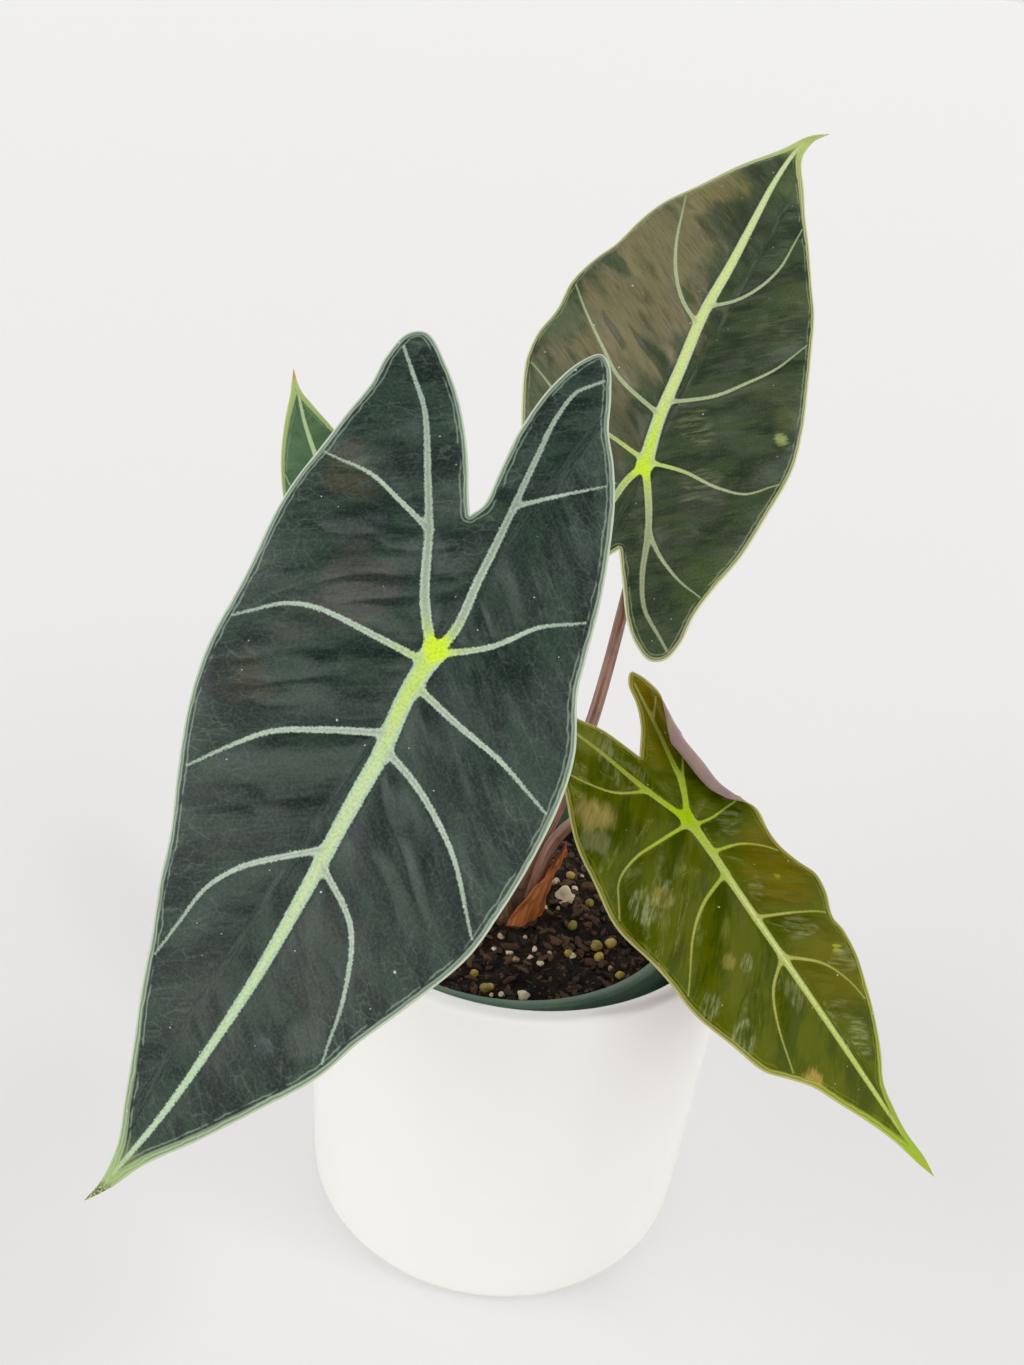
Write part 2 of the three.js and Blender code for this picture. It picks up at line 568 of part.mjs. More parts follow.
function nurseryPotGeometry() {
  const { height, rimRadius, lipWidth, collarHeight, footRadius, wall, floor } = NURSERY_POT;
  const shoulder = height - collarHeight;
  const path = new THREE.Path();
  path.moveTo(0, 0);
  path.lineTo(footRadius - 1.5, 0);
  path.lineTo(footRadius, 1.5);
  path.lineTo(nurseryRadiusAt(shoulder), shoulder);
  path.lineTo(rimRadius - 0.8, shoulder + 1.5);
  path.lineTo(rimRadius, height - 1);
  path.quadraticCurveTo(rimRadius, height, rimRadius - 1, height);
  path.lineTo(rimRadius - lipWidth + 0.6, height);
  path.lineTo(rimRadius - lipWidth, height - 1.6);
  path.lineTo(nurseryRadiusAt(shoulder) - wall, shoulder);
  path.lineTo(nurseryRadiusAt(floor) - wall, floor);
  path.lineTo(0, floor);
  const holes = Array.from({ length: NURSERY_POT.drainHoles }, (_, i) => {
    const azimuth = (2 * Math.PI * i) / NURSERY_POT.drainHoles;
    const reach = NURSERY_POT.drainCircle;
    const hole = new THREE.CylinderGeometry(NURSERY_POT.drainRadius, NURSERY_POT.drainRadius, 12, 10);
    hole.rotateX(Math.PI / 2).translate(reach * Math.cos(azimuth), reach * Math.sin(azimuth), 0);
    return solidFrom(closed(hole));
  });
  const body = solidFrom(turned(path, ROUND_SIDES, 3));
  return geometryFrom(holes.reduce((solid, hole) => solid.subtract(hole), body));
}

function outerPotGeometry() {
  const { height, footRadius, topRadius, footFillet, rimWall, floor, innerFillet } = OUTER_POT;
  const radiusAt = (z) => THREE.MathUtils.lerp(footRadius, topRadius, z / height);
  const insideAt = (z) => radiusAt(z) - rimWall;
  const lip = rimWall / 2;
  const path = new THREE.Path();
  path.moveTo(0, 0);
  path.lineTo(footRadius - footFillet, 0);
  path.quadraticCurveTo(footRadius, 0, radiusAt(footFillet), footFillet);
  path.lineTo(radiusAt(height - lip), height - lip);
  path.quadraticCurveTo(topRadius, height, topRadius - lip, height);
  path.quadraticCurveTo(topRadius - rimWall, height, insideAt(height - lip), height - lip);
  path.lineTo(insideAt(floor + innerFillet), floor + innerFillet);
  path.quadraticCurveTo(insideAt(floor), floor, insideAt(floor) - innerFillet, floor);
  path.lineTo(0, floor);
  return turned(path, ROUND_SIDES, 3);
}

// Assembly

function material(name) {
  return new THREE.MeshStandardMaterial({ ...COLOURS[name], metalness: 0 });
}

function part(name, geometry, colour) {
  const mesh = new THREE.Mesh(geometry, material(colour));
  mesh.name = name;
  return mesh;
}

function leafPart(name, colour) {
  const leaf = LEAVES[name];
  const mesh = part(`leaf_${name}`, geometryFrom(leafSolid(leaf)), colour);
  const { position, turn } = leafPlace(leaf);
  mesh.position.copy(position);
  mesh.rotation.copy(turn);
  return mesh;
}

const pots = new THREE.Group();
pots.add(part('outer_pot', outerPotGeometry(), 'glaze'));
const nurseryPot = part('nursery_pot', nurseryPotGeometry(), 'plastic');
nurseryPot.position.set(NURSERY_POT.centreX, 0, OUTER_POT.floor + SEAT_GAP);
pots.add(nurseryPot);
pots.add(part('soil', soilGeometry(), 'soil'));

const plant = new THREE.Group();
plant.add(part('crown', crownGeometry(), 'crown'));
plant.add(part('dry_sheath', sheathGeometry(), 'sheath'));
Object.keys(STALKS).forEach((name) => {
  plant.add(part(`petiole_${name}`, stalkGeometryOf(name), 'stalk'));
});
plant.add(leafPart('front', 'darkLeaf'));
plant.add(leafPart('back', 'oliveLeaf'));
plant.add(leafPart('right', 'brightLeaf'));
plant.add(leafPart('far', 'farLeaf'));

const pottedAlocasia = new THREE.Group();
pottedAlocasia.add(pots, plant);

export default pottedAlocasia;
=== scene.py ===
"""Looks of the potted dragon tooth alocasia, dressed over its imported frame.

Lengths are in millimetres until a mesh is made, and Blender's own unit is the metre.
The origin is the centre of the outer pot's foot, +Z is up and -Y is the viewer's side.
A leaf's outline and veins are in its own flat frame: the petiole joint is the origin, x runs
to the tip, y to the left of the midrib and z out of the upper face.
"""

import math
import random
from types import SimpleNamespace as Values

import bmesh
import bpy
import numpy as np
from mathutils import Matrix, Vector
from mathutils.geometry import delaunay_2d_cdt


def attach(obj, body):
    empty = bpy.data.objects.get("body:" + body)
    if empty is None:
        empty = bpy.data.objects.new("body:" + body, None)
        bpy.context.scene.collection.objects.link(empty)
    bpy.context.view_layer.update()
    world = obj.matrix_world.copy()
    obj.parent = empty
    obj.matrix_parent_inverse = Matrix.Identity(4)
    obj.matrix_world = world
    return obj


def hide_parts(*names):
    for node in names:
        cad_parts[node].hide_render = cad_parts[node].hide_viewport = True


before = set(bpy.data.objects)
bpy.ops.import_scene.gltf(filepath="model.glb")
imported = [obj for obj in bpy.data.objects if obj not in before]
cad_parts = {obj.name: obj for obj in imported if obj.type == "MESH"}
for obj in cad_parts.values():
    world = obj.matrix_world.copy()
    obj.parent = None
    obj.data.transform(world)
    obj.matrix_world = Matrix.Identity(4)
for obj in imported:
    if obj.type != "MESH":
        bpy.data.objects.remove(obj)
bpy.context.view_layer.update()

MM = 0.001

# Leaves. The outline's halves run from the tip to the notch between the lobes. The midrib's
# half widths stand at shares of its length. A vein is its first half width and its route.

LEAVES = {
    "front": Values(
        joint=(-26.4, -63.2, 210.3), heading=-129, pitch=-42, roll=-26, tip_bow=0.0017,
        lobe_bow=0.0016, left_sag=0, half_width=42, ripple=0.9, ripple_length=34, curl=None,
        right=[(132, 0), (126, 1), (117.5, 0), (110, -3), (98, -8), (88, -12.5), (78, -16.5),
            (68, -21), (59, -24.5), (48, -30.5), (37, -35.5), (21, -40.5), (4, -42.5), (-16, -46),
            (-31, -45.5), (-42, -45.5), (-51, -47.5), (-58, -47), (-60.5, -43.5), (-56, -35),
            (-50, -27.5), (-40, -18.5), (-33, -13.5), (-29.5, -10.8)],
        left=[(132, 0), (126, 3.5), (118, 7), (107, 14), (94, 21.5), (82, 28), (72, 31),
            (60, 35.5), (46, 40), (35, 40.5), (23, 40), (11, 38.5), (1, 35.5), (-10, 29),
            (-17, 26.5), (-28.5, 22.5), (-41, 17), (-50, 12.3), (-57, 7.5), (-63, 2.5), (-71, -2),
            (-77.5, -6.5), (-79, -9.5), (-75, -12), (-65, -13.8), (-52, -13.3), (-42, -11.4),
            (-33, -9.7), (-29.5, -10.8)],
        midrib=[(0, 0), (11, 0.7), (22, 2.8), (34, 3.8), (51, 5.3), (72, 6.5), (93, 6), (107, 5),
            (120, 3), (127, 1.6)],
        midrib_widths=[(0, 2.2), (0.08, 1.9), (0.25, 1.7), (0.45, 1.35), (0.7, 0.85), (0.9, 0.55),
            (1, 0.3)],
        veins=[
            (1.1, [(0, 0), (-9, -8), (-22, -16), (-31, -22.5), (-44, -32.5), (-51, -41)]),
            (0.6, [(-22, -16), (-24, -25), (-25.5, -33), (-24.5, -42)]),
            (1.0, [(0, 0), (-7, 1), (-18, -1), (-30, -3), (-48, -6.5), (-59, -8.5), (-67, -8.5),
                (-70, -7)]),
            (0.5, [(-37, -3.5), (-43, 1.5), (-48, 6)]),
            (0.75, [(2, 0), (3, -11), (5, -26), (8, -32), (13, -37)]),
            (0.75, [(18, 2), (25, -10), (31, -18.5), (38, -24), (44, -28)]),
            (0.65, [(44, 4.5), (51, -3), (57, -8.5), (64, -12), (73, -13)]),
            (0.7, [(0, 0), (-8, 9), (-17, 15), (-22, 21)]),
            (0.75, [(7, 0.5), (9, 12), (10.5, 24), (13.5, 35)]),
            (0.75, [(21, 2.5), (24, 13), (31, 26), (41, 37)]),
            (0.65, [(47, 5), (54, 17), (66, 23.5), (77, 26.5)]),
        ]),
    "back": Values(
        joint=(21.7, 66.6, 207.7), heading=64.1, pitch=36, roll=12, tip_bow=0.0006,
        lobe_bow=0.0015, left_sag=0, half_width=42, ripple=0.8, ripple_length=38, curl=None,
        right=[(150.7, 0), (148, 1.5), (145, 3), (140.5, 3.7), (135, 3.6), (129, 1.7), (122, -1.6),
            (109, -7), (97, -12.7), (81, -19.7), (72, -23.8), (58, -28.3), (43, -32.7),
            (29, -36.5), (17, -38.5), (0, -37.8), (-15, -36.2), (-28, -33), (-37, -31.5),
            (-46, -31.3), (-51.5, -29.4), (-53.4, -25.5), (-51, -20.5), (-46, -15.5), (-37, -10),
            (-27.6, -4.5)],
        left=[(150.7, 0), (146.5, 5.2), (135, 11.5), (122, 20), (107, 28.5), (96, 34.7),
            (84, 38.5), (72, 41.5), (63, 45), (50, 47), (39, 46.6), (29.5, 48.3), (20, 47.2),
            (12, 44.6), (2, 40.3), (-12, 34), (-26, 30), (-40, 27), (-50, 22.5), (-53.5, 17),
            (-51, 11), (-44, 5), (-36, 0.5), (-27.6, -4.5)],
        midrib=[(0, 0), (15, 2.6), (34, 4.2), (57, 6.2), (79, 6.2), (98, 6.8), (120, 7.4),
            (137, 6.5), (144, 4.6)],
        midrib_widths=[(0, 2.1), (0.12, 1.75), (0.5, 1.5), (0.8, 0.9), (0.95, 0.6), (1, 0.2)],
        veins=[
            (1.1, [(0, 0), (-11, -6), (-19, -9.5), (-33, -14), (-41, -18.5), (-47, -26)]),
            (0.6, [(-19.5, -10), (-25, -16), (-29.5, -24), (-31, -29)]),
            (1.1, [(0, 0), (-7, 2.5), (-17, 4), (-28, 8), (-38, 13), (-47, 17.5)]),
            (0.6, [(-18, 4), (-23, 11), (-27, 19), (-29, 26)]),
            (0.7, [(1, 0), (5, 15), (8, 28), (16, 42)]),
            (0.7, [(17, 3), (24, 19), (33, 29), (43, 39.5), (48, 44)]),
            (0.65, [(52, 6), (59, 14), (69, 20.5), (80, 25), (95, 29)]),
            (0.65, [(1, 0), (2.5, -11), (1.6, -21), (3, -29.5), (9, -35.5)]),
            (0.65, [(22, 3), (30, -8.5), (38, -15), (47, -21), (57, -25)]),
            (0.6, [(60, 6), (66, -0.5), (74, -5), (84, -7.7), (99, -8)]),
        ]),
    "right": Values(
        joint=(37.6, -24.1, 149.6), heading=-39.9, pitch=-30, roll=15, tip_bow=0.001,
        lobe_bow=0.001, left_sag=0, half_width=28, ripple=0.8, ripple_length=26,
        curl=Values(radius=2.4, line=[(14, 17.5), (8, 14), (2, 11.2), (-3, 10.4), (-10, 10.2),
            (-18, 9.6), (-27, 12), (-34, 14.4), (-40, 15.4)]),
        right=[(102, 0), (96.5, -2), (90, -4), (83, -7), (75, -11.2), (68, -14.7), (63, -18.8),
            (58, -23.3), (50.5, -26.3), (40, -29.2), (31, -30.4), (22, -32), (12, -33), (1.5, -32),
            (-7, -30), (-15.5, -26.2), (-24, -22), (-34, -18.5), (-42, -15.5), (-45, -12),
            (-43, -9), (-37, -6.5), (-31, -3), (-20, 0.5)],
        left=[(102, 0), (97, 0.5), (90, 0), (84, 0.7), (78, 2.2), (72, 6.5), (65, 10.5), (57, 14),
            (50.5, 16.7), (44, 17.8), (40, 17.3), (34.5, 19.7), (29, 20.6), (24.5, 19), (18, 17.3),
            (12, 17.4), (6, 18.6), (0, 19.8), (-8, 20.1), (-16, 19.4), (-24, 19), (-32, 17.6),
            (-38, 16.4), (-40.4, 15), (-38, 12), (-32, 9.8), (-26.5, 6.5), (-20, 0.5)],
        midrib=[(0, 0), (9, -0.2), (20, -1), (42, -1.6), (61, -1.7), (79, -1.6), (93, -1.2),
            (98, -0.7)],
        midrib_widths=[(0, 1.3), (0.12, 1.05), (0.5, 0.85), (0.8, 0.6), (1, 0.2)],
        veins=[
            (0.8, [(0, 0), (-7.5, -2.8), (-17, -5.5), (-28, -8.2), (-41, -12)]),
            (0.35, [(-11.5, -4.3), (-15.6, -11.6), (-21, -16), (-26, -19)]),
            (0.8, [(0, 0), (-8, 5), (-17, 7.7), (-27, 10.6), (-36, 13)]),
            (0.3, [(-27, 11.4), (-30, 15)]),
            (0.3, [(-7, 4.5), (-13, 9.5)]),
            (0.45, [(1, 0), (0.5, -11), (0.6, -19), (3, -26), (8.5, -30)]),
            (0.45, [(16, -0.5), (19, -11), (24, -19), (33, -27.5)]),
            (0.4, [(40, -1.5), (45, -9), (52, -13.5), (62, -16.8)]),
            (0.35, [(2, 0), (3, 6), (3, 9.5)]),
            (0.4, [(10, 0), (12.4, 8), (16, 13), (19, 15.8)]),
            (0.4, [(29, -1), (33, 7.6), (36.5, 14), (38, 16)]),
            (0.4, [(40, -1.5), (47.5, 7), (54, 10), (60, 11)]),
        ]),
    "far": Values(
        joint=(-46, 40.3, 156.6), heading=121.2, pitch=29.6, roll=-16.2, tip_bow=0.0008,
        lobe_bow=0.0015, left_sag=0.008, half_width=20, ripple=0.5, ripple_length=30, curl=None,
        right=[(110.8, -5.3), (105.3, -4.7), (99.9, -4.6), (93.5, -5.9), (85.4, -7.9),
            (74.5, -10.9), (62, -15.5), (47, -20), (31, -22.5), (15, -23), (0, -22), (-13, -20.5),
            (-25, -19), (-34, -17.5), (-39, -15), (-39, -11), (-35, -7), (-27, -3), (-21, 0)],
        left=[(110.8, -5.3), (105.3, -3.1), (99.9, -1), (93.5, 2), (85.4, 5.6), (74.5, 9.7),
            (62, 13), (47, 15.4), (31, 16.7), (15, 17), (0, 16.5), (-13, 16), (-25, 15.5),
            (-34, 14), (-39, 11.5), (-39, 8), (-35, 5), (-27, 2), (-21, 0)],
        midrib=[(0, 0), (20, 0), (45, 0), (65, -0.3), (85, -1.4), (98, -3.2), (105, -4.2)],
        midrib_widths=[(0, 1.6), (0.3, 1.1), (0.7, 0.7), (1, 0.25)],
        veins=[
            (0.7, [(0, 0), (-12, -5), (-24, -9), (-35, -12.5)]),
            (0.7, [(0, 0), (-12, 4.5), (-24, 8), (-35, 10.5)]),
            (0.5, [(1, 0), (4, 8), (9, 15)]),
            (0.5, [(14, 0), (21, 7), (31, 12), (39, 14)]),
            (0.45, [(38, 0), (46, 6), (57, 9.5), (68, 10.5)]),
            (0.5, [(1, 0), (2, -12), (6, -21)]),
            (0.5, [(17, 0), (24, -10), (34, -16.5), (44, -19)]),
            (0.45, [(42, 0), (50, -8), (62, -12.5), (73, -10.5)]),
        ]),
}

# Looks of the leaves, in the order front, back, right and far. Colours are sRGB. Tints
# are soft patches on a blade, partly its own mottling and partly painted sheen, painted
# highlights and painted shade in its folds: x, y, reach, colour and strength. Glints are
# painted reflections, pale streaks where it mirrors a window: x, y, reach and strength.
LEAF_LOOKS = {
    "blade": ((38, 56, 45), (52, 68, 42), (78, 86, 2), (74, 102, 70)),
    "deep": ((11, 29, 23), (28, 44, 26), (56, 68, 1), (60, 90, 60)),
    # The sheen row is a painted sheen; with the deep row it also paints the folds' highlights and
    # shade.
    "sheen": ((76, 86, 78), (86, 92, 64), (92, 90, 6), (96, 110, 84)),
    "vein": ((178, 194, 174), (172, 182, 142), (168, 170, 84), (150, 172, 130)),
    "vein_core": ((134, 142, 124), (150, 160, 112), (150, 152, 52), (140, 160, 112)),
    "midrib": ((190, 208, 156), (202, 218, 140), (212, 214, 156), (170, 190, 130)),
    "midrib_edge": ((176, 200, 168), (192, 206, 160), (178, 190, 98), (170, 190, 140)),
    "flush": ((188, 214, 108), (196, 222, 84), (166, 192, 30), (160, 200, 90)),
    "glow": ((204, 232, 30), (200, 228, 50), (162, 196, 0), (160, 200, 60)),
    "edge": ((188, 200, 176), (208, 212, 166), (182, 176, 118), (170, 188, 124)),
    "band": ((130, 146, 128), (154, 154, 106), (134, 130, 58), (130, 150, 96)),
    "tip_band": ((150, 172, 122), (172, 182, 112), (150, 176, 36), (172, 188, 106)),
    "collector": ((150, 164, 146), (150, 158, 112), (120, 126, 30), (130, 150, 100)),
    "tip_colour": ((160, 178, 112), (172, 192, 104), (150, 180, 36), (196, 150, 60)),
    "tip_spots": ((70, 48, 36), (150, 150, 80), (160, 160, 60), (196, 110, 40)),
    "under": ((120, 128, 104), (118, 120, 92), (146, 118, 124), (118, 126, 100)),
    "sheen_share": (0.28, 0.4, 0.35, 0.3),
    "tip": ((112, 130), (128, 146), (86, 100), (101, 110)),
    "tip_widening": (0.8, 1.3, 0.6, 1.0),
    "velvet": (0.35, 0.3, 0.1, 0.1),
    # The next row weighs the folds' painted shade and painted highlights.
    "relief": (0.75, 0.65, 0.35, 0.3),
    "network": (0.022, 0.015, 0.012, 0.03),
    "vein_flush": ((13, 0.5), (18, 0.6), (32, 0.7), (13, 0.5)),
    "feather": (0.9, 0.5, 0.3, 0.4),
    "roughness": (0.4, 0.36, 0.14, 0.4),
    "gloss": (0.3, 0.32, 0.12, 0.32),
    "mirror_tint": ((1.0, 1.0, 1.0, 1), (1.0, 1.0, 1.0, 1), (1.0, 1.0, 0.4, 1), (1.0, 1.0, 1.0, 1)),
    "fibre_depth": (0.06, 0.05, 0.06, 0.05),
    "quilt": (1.3, 1.2, 0.9, 0.5),
    "folds": (1.3, 1.0, 0.8, 0.3),
    "slot": ("leaf_dark", "leaf_olive", "leaf_glossy", "leaf_far"),
    # Tints: own mottling, painted sheen, painted highlights and painted shade in folds
    "tints": (
        [(-3, -21, 10, (100, 92, 86), 0.4), (-23, -37, 8, (92, 78, 56), 0.4),
         (25, -28, 7, (86, 74, 54), 0.4), (61, 17, 14, (84, 86, 78), 0.25),
         (50, -11, 11, (78, 84, 76), 0.2), (84, 3, 12, (86, 90, 82), 0.25),
         (83, 15, 3, (104, 122, 126), 0.3), (-24, 3, 9, (22, 38, 30), 0.75),
         (36, 22, 8, (24, 42, 36), 0.5), (20, -8, 7, (26, 44, 40), 0.5),
         (-5, 25, 9, (24, 38, 31), 0.6), (47, 25, 7, (24, 38, 31), 0.5),
         (82, 13, 6, (26, 40, 33), 0.45), (45, -13, 6, (26, 40, 32), 0.4),
         (9, -27, 6, (90, 98, 84), 0.35), (12, 13, 5, (90, 98, 94), 0.3),
         (29, 12, 5, (90, 100, 94), 0.3), (38, 18, 5, (92, 98, 90), 0.35),
         (77, 22, 5, (92, 100, 90), 0.4), (-30, -16, 6, (90, 100, 90), 0.35)],
        [(50, 24, 24, (134, 122, 90), 0.7), (28, 26, 21, (132, 122, 92), 0.7),
         (106, 25, 16, (132, 122, 74), 0.7), (78, 28, 23, (136, 126, 92), 0.7),
         (9, 31, 17, (104, 108, 84), 0.65), (4, 14, 15, (98, 92, 68), 0.6),
         (36, 44, 11, (92, 102, 76), 0.7), (97, 11, 12, (40, 52, 34), 0.85),
         (74, -17, 9, (82, 90, 48), 0.4), (-27, -34, 14, (72, 90, 38), 0.6),
         (24.5, -31.5, 2.6, (156, 166, 100), 0.8), (-4, -19, 9, (80, 80, 72), 0.4),
         (36, -24, 9, (74, 78, 48), 0.4), (120, 0, 10, (84, 104, 56), 0.55),
         (31, -31, 5, (92, 102, 60), 0.5)],
        [(-31, 12, 11, (120, 92, 10), 0.65), (-20, 7, 9, (114, 104, 12), 0.6),
         (-14, -20, 5.5, (176, 156, 92), 0.6), (-8, -24.5, 4, (140, 140, 96), 0.45),
         (12, -19, 3.5, (150, 136, 60), 0.5), (67.5, -14, 4, (180, 148, 76), 0.75),
         (24.3, 10.5, 1.0, (190, 205, 20), 0.9), (46.2, 12.3, 1.4, (200, 210, 60), 0.9),
         (22, 13, 14, (104, 90, 2), 0.7), (49, 9, 14, (100, 92, 4), 0.6),
         (-30, -8, 6, (122, 124, 56), 0.5), (33.5, -15, 2.5, (150, 140, 66), 0.5)],
        []),
    # Glints: painted reflections of a window
    "glints": (
        [],
        [(16, -9, 7, 0.35), (0, -17, 7, 0.35), (60, -14, 8, 0.15)],
        [(-26, -6, 5, 0.35), (-20, -9, 3, 0.4), (12, -23.5, 5, 0.6), (11, -17.5, 4, 0.5),
         (36, -11.5, 3, 0.7), (39.5, -26, 4.5, 0.7), (49.5, -24.5, 5, 0.75), (37, 6.7, 5, 0.45),
         (48, -4, 4, 0.45), (58, 1, 4, 0.4), (66, 3, 4.5, 0.6), (23, 4, 3, 0.4), (49, 12, 4, 0.4),
         (6, 9, 3, 0.4)],
        []),
}
LOOKS = {name: Values(**{key: row[place] for key, row in LEAF_LOOKS.items()})
         for place, name in enumerate(LEAVES)}

# Shared by the leaves' finishes
# The glint colour is that of painted reflections.
GLINT_COLOUR = (156, 160, 116)
SPECK_COLOUR = (200, 202, 196)
TIP_FADE = 45
COLLECTOR_INSET = 1.75

# A blade's mesh. Each ridge height is what a side vein has and what the midrib adds to it.
BLADE_HALF = 0.28
MARGIN_HALF = 0.1
MARGIN_ROUND = 0.8
RIM_BULGE = 0.06
RIM_UNDER = 0.3
RIDGE_SOFTNESS = 0.28
UPPER_RIDGE = (0.16, 0.3)
LOWER_RIDGE = (0.5, 0.9)
FLAT_MARGIN = 5
TOP_SPACING = 0.62
BOTTOM_SPACING = 1.3
MARGIN_SPACING = 1.0
VEIN_SPACING = 0.6
VEIN_CLEARANCE = 1.5
VEIN_RUN_ON = 14
VEIN_REACH = 18
VEIN_BLEND = 0.45
VEIN_TAPER = Values(share=0.7, power=1.2, least=0.2)

# Folds of a blade: noise along and across the side veins' direction, its seed and its weight.
LATERAL_ANGLE = math.radians(52)
FOLDS = (0.06, 0.13, 3, 0.9)
VALLEYS = (0.07, 0.2, 6, 0.9)
CREASES = (0.14, 0.42, 8, 0.2)
# A step toward a fixed light, over which the folds' gradient is taken to paint their shade and
# highlights.
PAINTED_LIGHT_STEP = np.array((0.42, -0.06))

# Petioles, crown and sheath

CROWN = Values(x=-2.5, y=-3, radius=7, top=104, bottom=90, stalk_circle=3.5, stalk_start=95)
STALKS = {
    "right": Values(azimuth=-10, radii=(2, 1.5), via=[
        (2.8, -2.5, 108), (6.5, 0.5, 121), (14, 0, 131), (24, -8, 139), (32, -16, 142.5)]),
    "back": Values(azimuth=75, radii=(2.3, 1.6), via=[
        (0, 4, 107), (7, 12.5, 124), (14, 27, 144), (20, 49, 169.5), (22.8, 62, 187),
        (23.2, 68, 198)]),
    "far": Values(azimuth=158, radii=(2, 1.5), via=[
        (-7.5, -1, 107), (-12, 6, 120), (-21, 19, 135), (-36, 33, 144), (-45.5, 43, 149)]),
    "front": Values(azimuth=245, radii=(2.3, 1.8), via=[
        (-6.5, -9, 110), (-9, -15, 130), (-14, -25, 160), (-20, -42, 190), (-25.5, -55, 202.5)]),
}
STALK = Values(sides=24, spacing=1.2, flare=0.5, flare_share=9 / 160, sink=0.15, flat_reach=12)
SHEATH = Values(foot=99.5, height=22, foot_radius=7.8, top_radius=5, azimuth=-33, sweep=136,
                lean_x=7.3, lean_y=3.6, thickness=0.35, girth=18, columns=56, rows=48)

# Pots and soil

OUTER_POT = Values(height=111, foot_radius=56, top_radius=60, foot_fillet=5, rim_wall=5, floor=6,
                   inner_fillet=4)
NURSERY_POT = Values(x=-4.2, z=6.3, height=99.4, rim_radius=50, lip_width=3, collar_height=14,
                     shoulder_radius=47, foot_radius=37, wall=1.4, floor=2, drain_holes=6,
                     drain_radius=4, drain_circle=26)
POT_SIDES = 160
SOIL = Values(top=97, radius=45.25, gap=0.3, sides=300, rings=100)

# The soil's pale grains that the picture shows: x, y and width.
PERLITE = [(12, 6, 6), (2, -35.4, 3.2), (6, -22.9, 1.8), (-2.5, -19.4, 1.8), (-6.7, -18.8, 1.6),
           (4.2, -17.9, 1.7), (8.3, -18.9, 1.5), (14.6, -17.9, 1.8), (9.2, 12.1, 2.4),
           (14.8, 10.2, 2), (6.4, 0.6, 1.7), (10.1, 1.2, 1.5)]
BEADS = [(-8.1, -33.9, 3), (21.2, -13.5, 3.2), (22, -17.1, 2.8), (25.1, -11.6, 3.2),
         (19.2, 5.4, 2.8), (13.5, 16.2, 2.6), (27.6, -23.6, 2.6), (14.4, -6.9, 2.6)]
MORE_CHIPS = 1900
MORE_PERLITE = 40
MORE_BEADS = 5
GRAIN_CLEARANCE = 2.5

# Stage. A soft box is a direction, the angles where it starts to fade and ends, and strength.
FLOOR_HALF = 9000
FLOOR_COLOUR = (194, 192, 191)
FLOOR_GLOW = 0.26
BACKDROP_COLOUR = (232, 231, 230)
LIGHT_COLOUR = (1.0, 0.995, 0.985, 1)
BOX_COLOUR = (0.94, 0.98, 1.0, 1)
BAND = Values(fade=(0.68, 0.82), strength=1.34, zenith=0.1)
SOFT_BOXES = [((0.42, -0.14, 0.9), 3, 6, 14.0), ((0.72, -0.35, 0.6), 8, 24, 1.3),
              ((-0.7, -0.3, 0.5), 8, 26, 2.1)]
CAMERA = Values(place=(-9.58, -313.5, 348.6), tilt=60.32, turn=6.04, lens=36.92, sensor=36)


# Shading


def lateral(x, side):
    """Distance along and across the side veins' direction, for numbers or nodes."""
    cos, sin = math.cos(LATERAL_ANGLE), math.sin(LATERAL_ANGLE)
    return x * cos + side * sin, side * cos - x * sin


def srgb(red, green, blue):
    """Linear colour of three sRGB values from 0 to 255."""
    def linear(value):
        share = value / 255
        return share / 12.92 if share <= 0.04045 else ((share + 0.055) / 1.055) ** 2.4
    return (linear(red), linear(green), linear(blue), 1)


class Wire:
    """The output of a node, with arithmetic that adds math nodes."""

    def __init__(self, nodes, socket):
        self.nodes = nodes
        self.socket = socket

    def __add__(self, other):
        return self.nodes.math("ADD", self, other)

    def __sub__(self, other):
        return self.nodes.math("SUBTRACT", self, other)

    def __mul__(self, other):
        return self.nodes.math("MULTIPLY", self, other)

    __radd__ = __add__


class Nodes:
    """The nodes of a world or a material: most methods add a node and return its output."""

    def __init__(self, owner):
        owner.use_nodes = True
        self.tree = owner.node_tree

    def put(self, socket, value):
        if isinstance(value, Wire):
            self.tree.links.new(value.socket, socket)
        else:
            socket.default_value = value

    def node(self, kind, inputs=(), output=0, **settings):
        made = self.tree.nodes.new("ShaderNode" + kind)
        for name, value in settings.items():
            setattr(made, name, value)
        for key, value in dict(inputs).items():
            self.put(made.inputs[key], value)
        return Wire(self, made.outputs[output])

    def math(self, operation, *values):
        return self.node("Math", enumerate(values), operation=operation)

    def split(self, vector):
        return [self.node("SeparateXYZ", {0: vector}, axis) for axis in range(3)]

    def step(self, value, start, end):
        """A smooth step from 0 where the value is start to 1 where it is end."""
        inputs = {"Value": value, "From Min": start, "From Max": end}
        return self.node("MapRange", inputs, interpolation_type="SMOOTHSTEP")


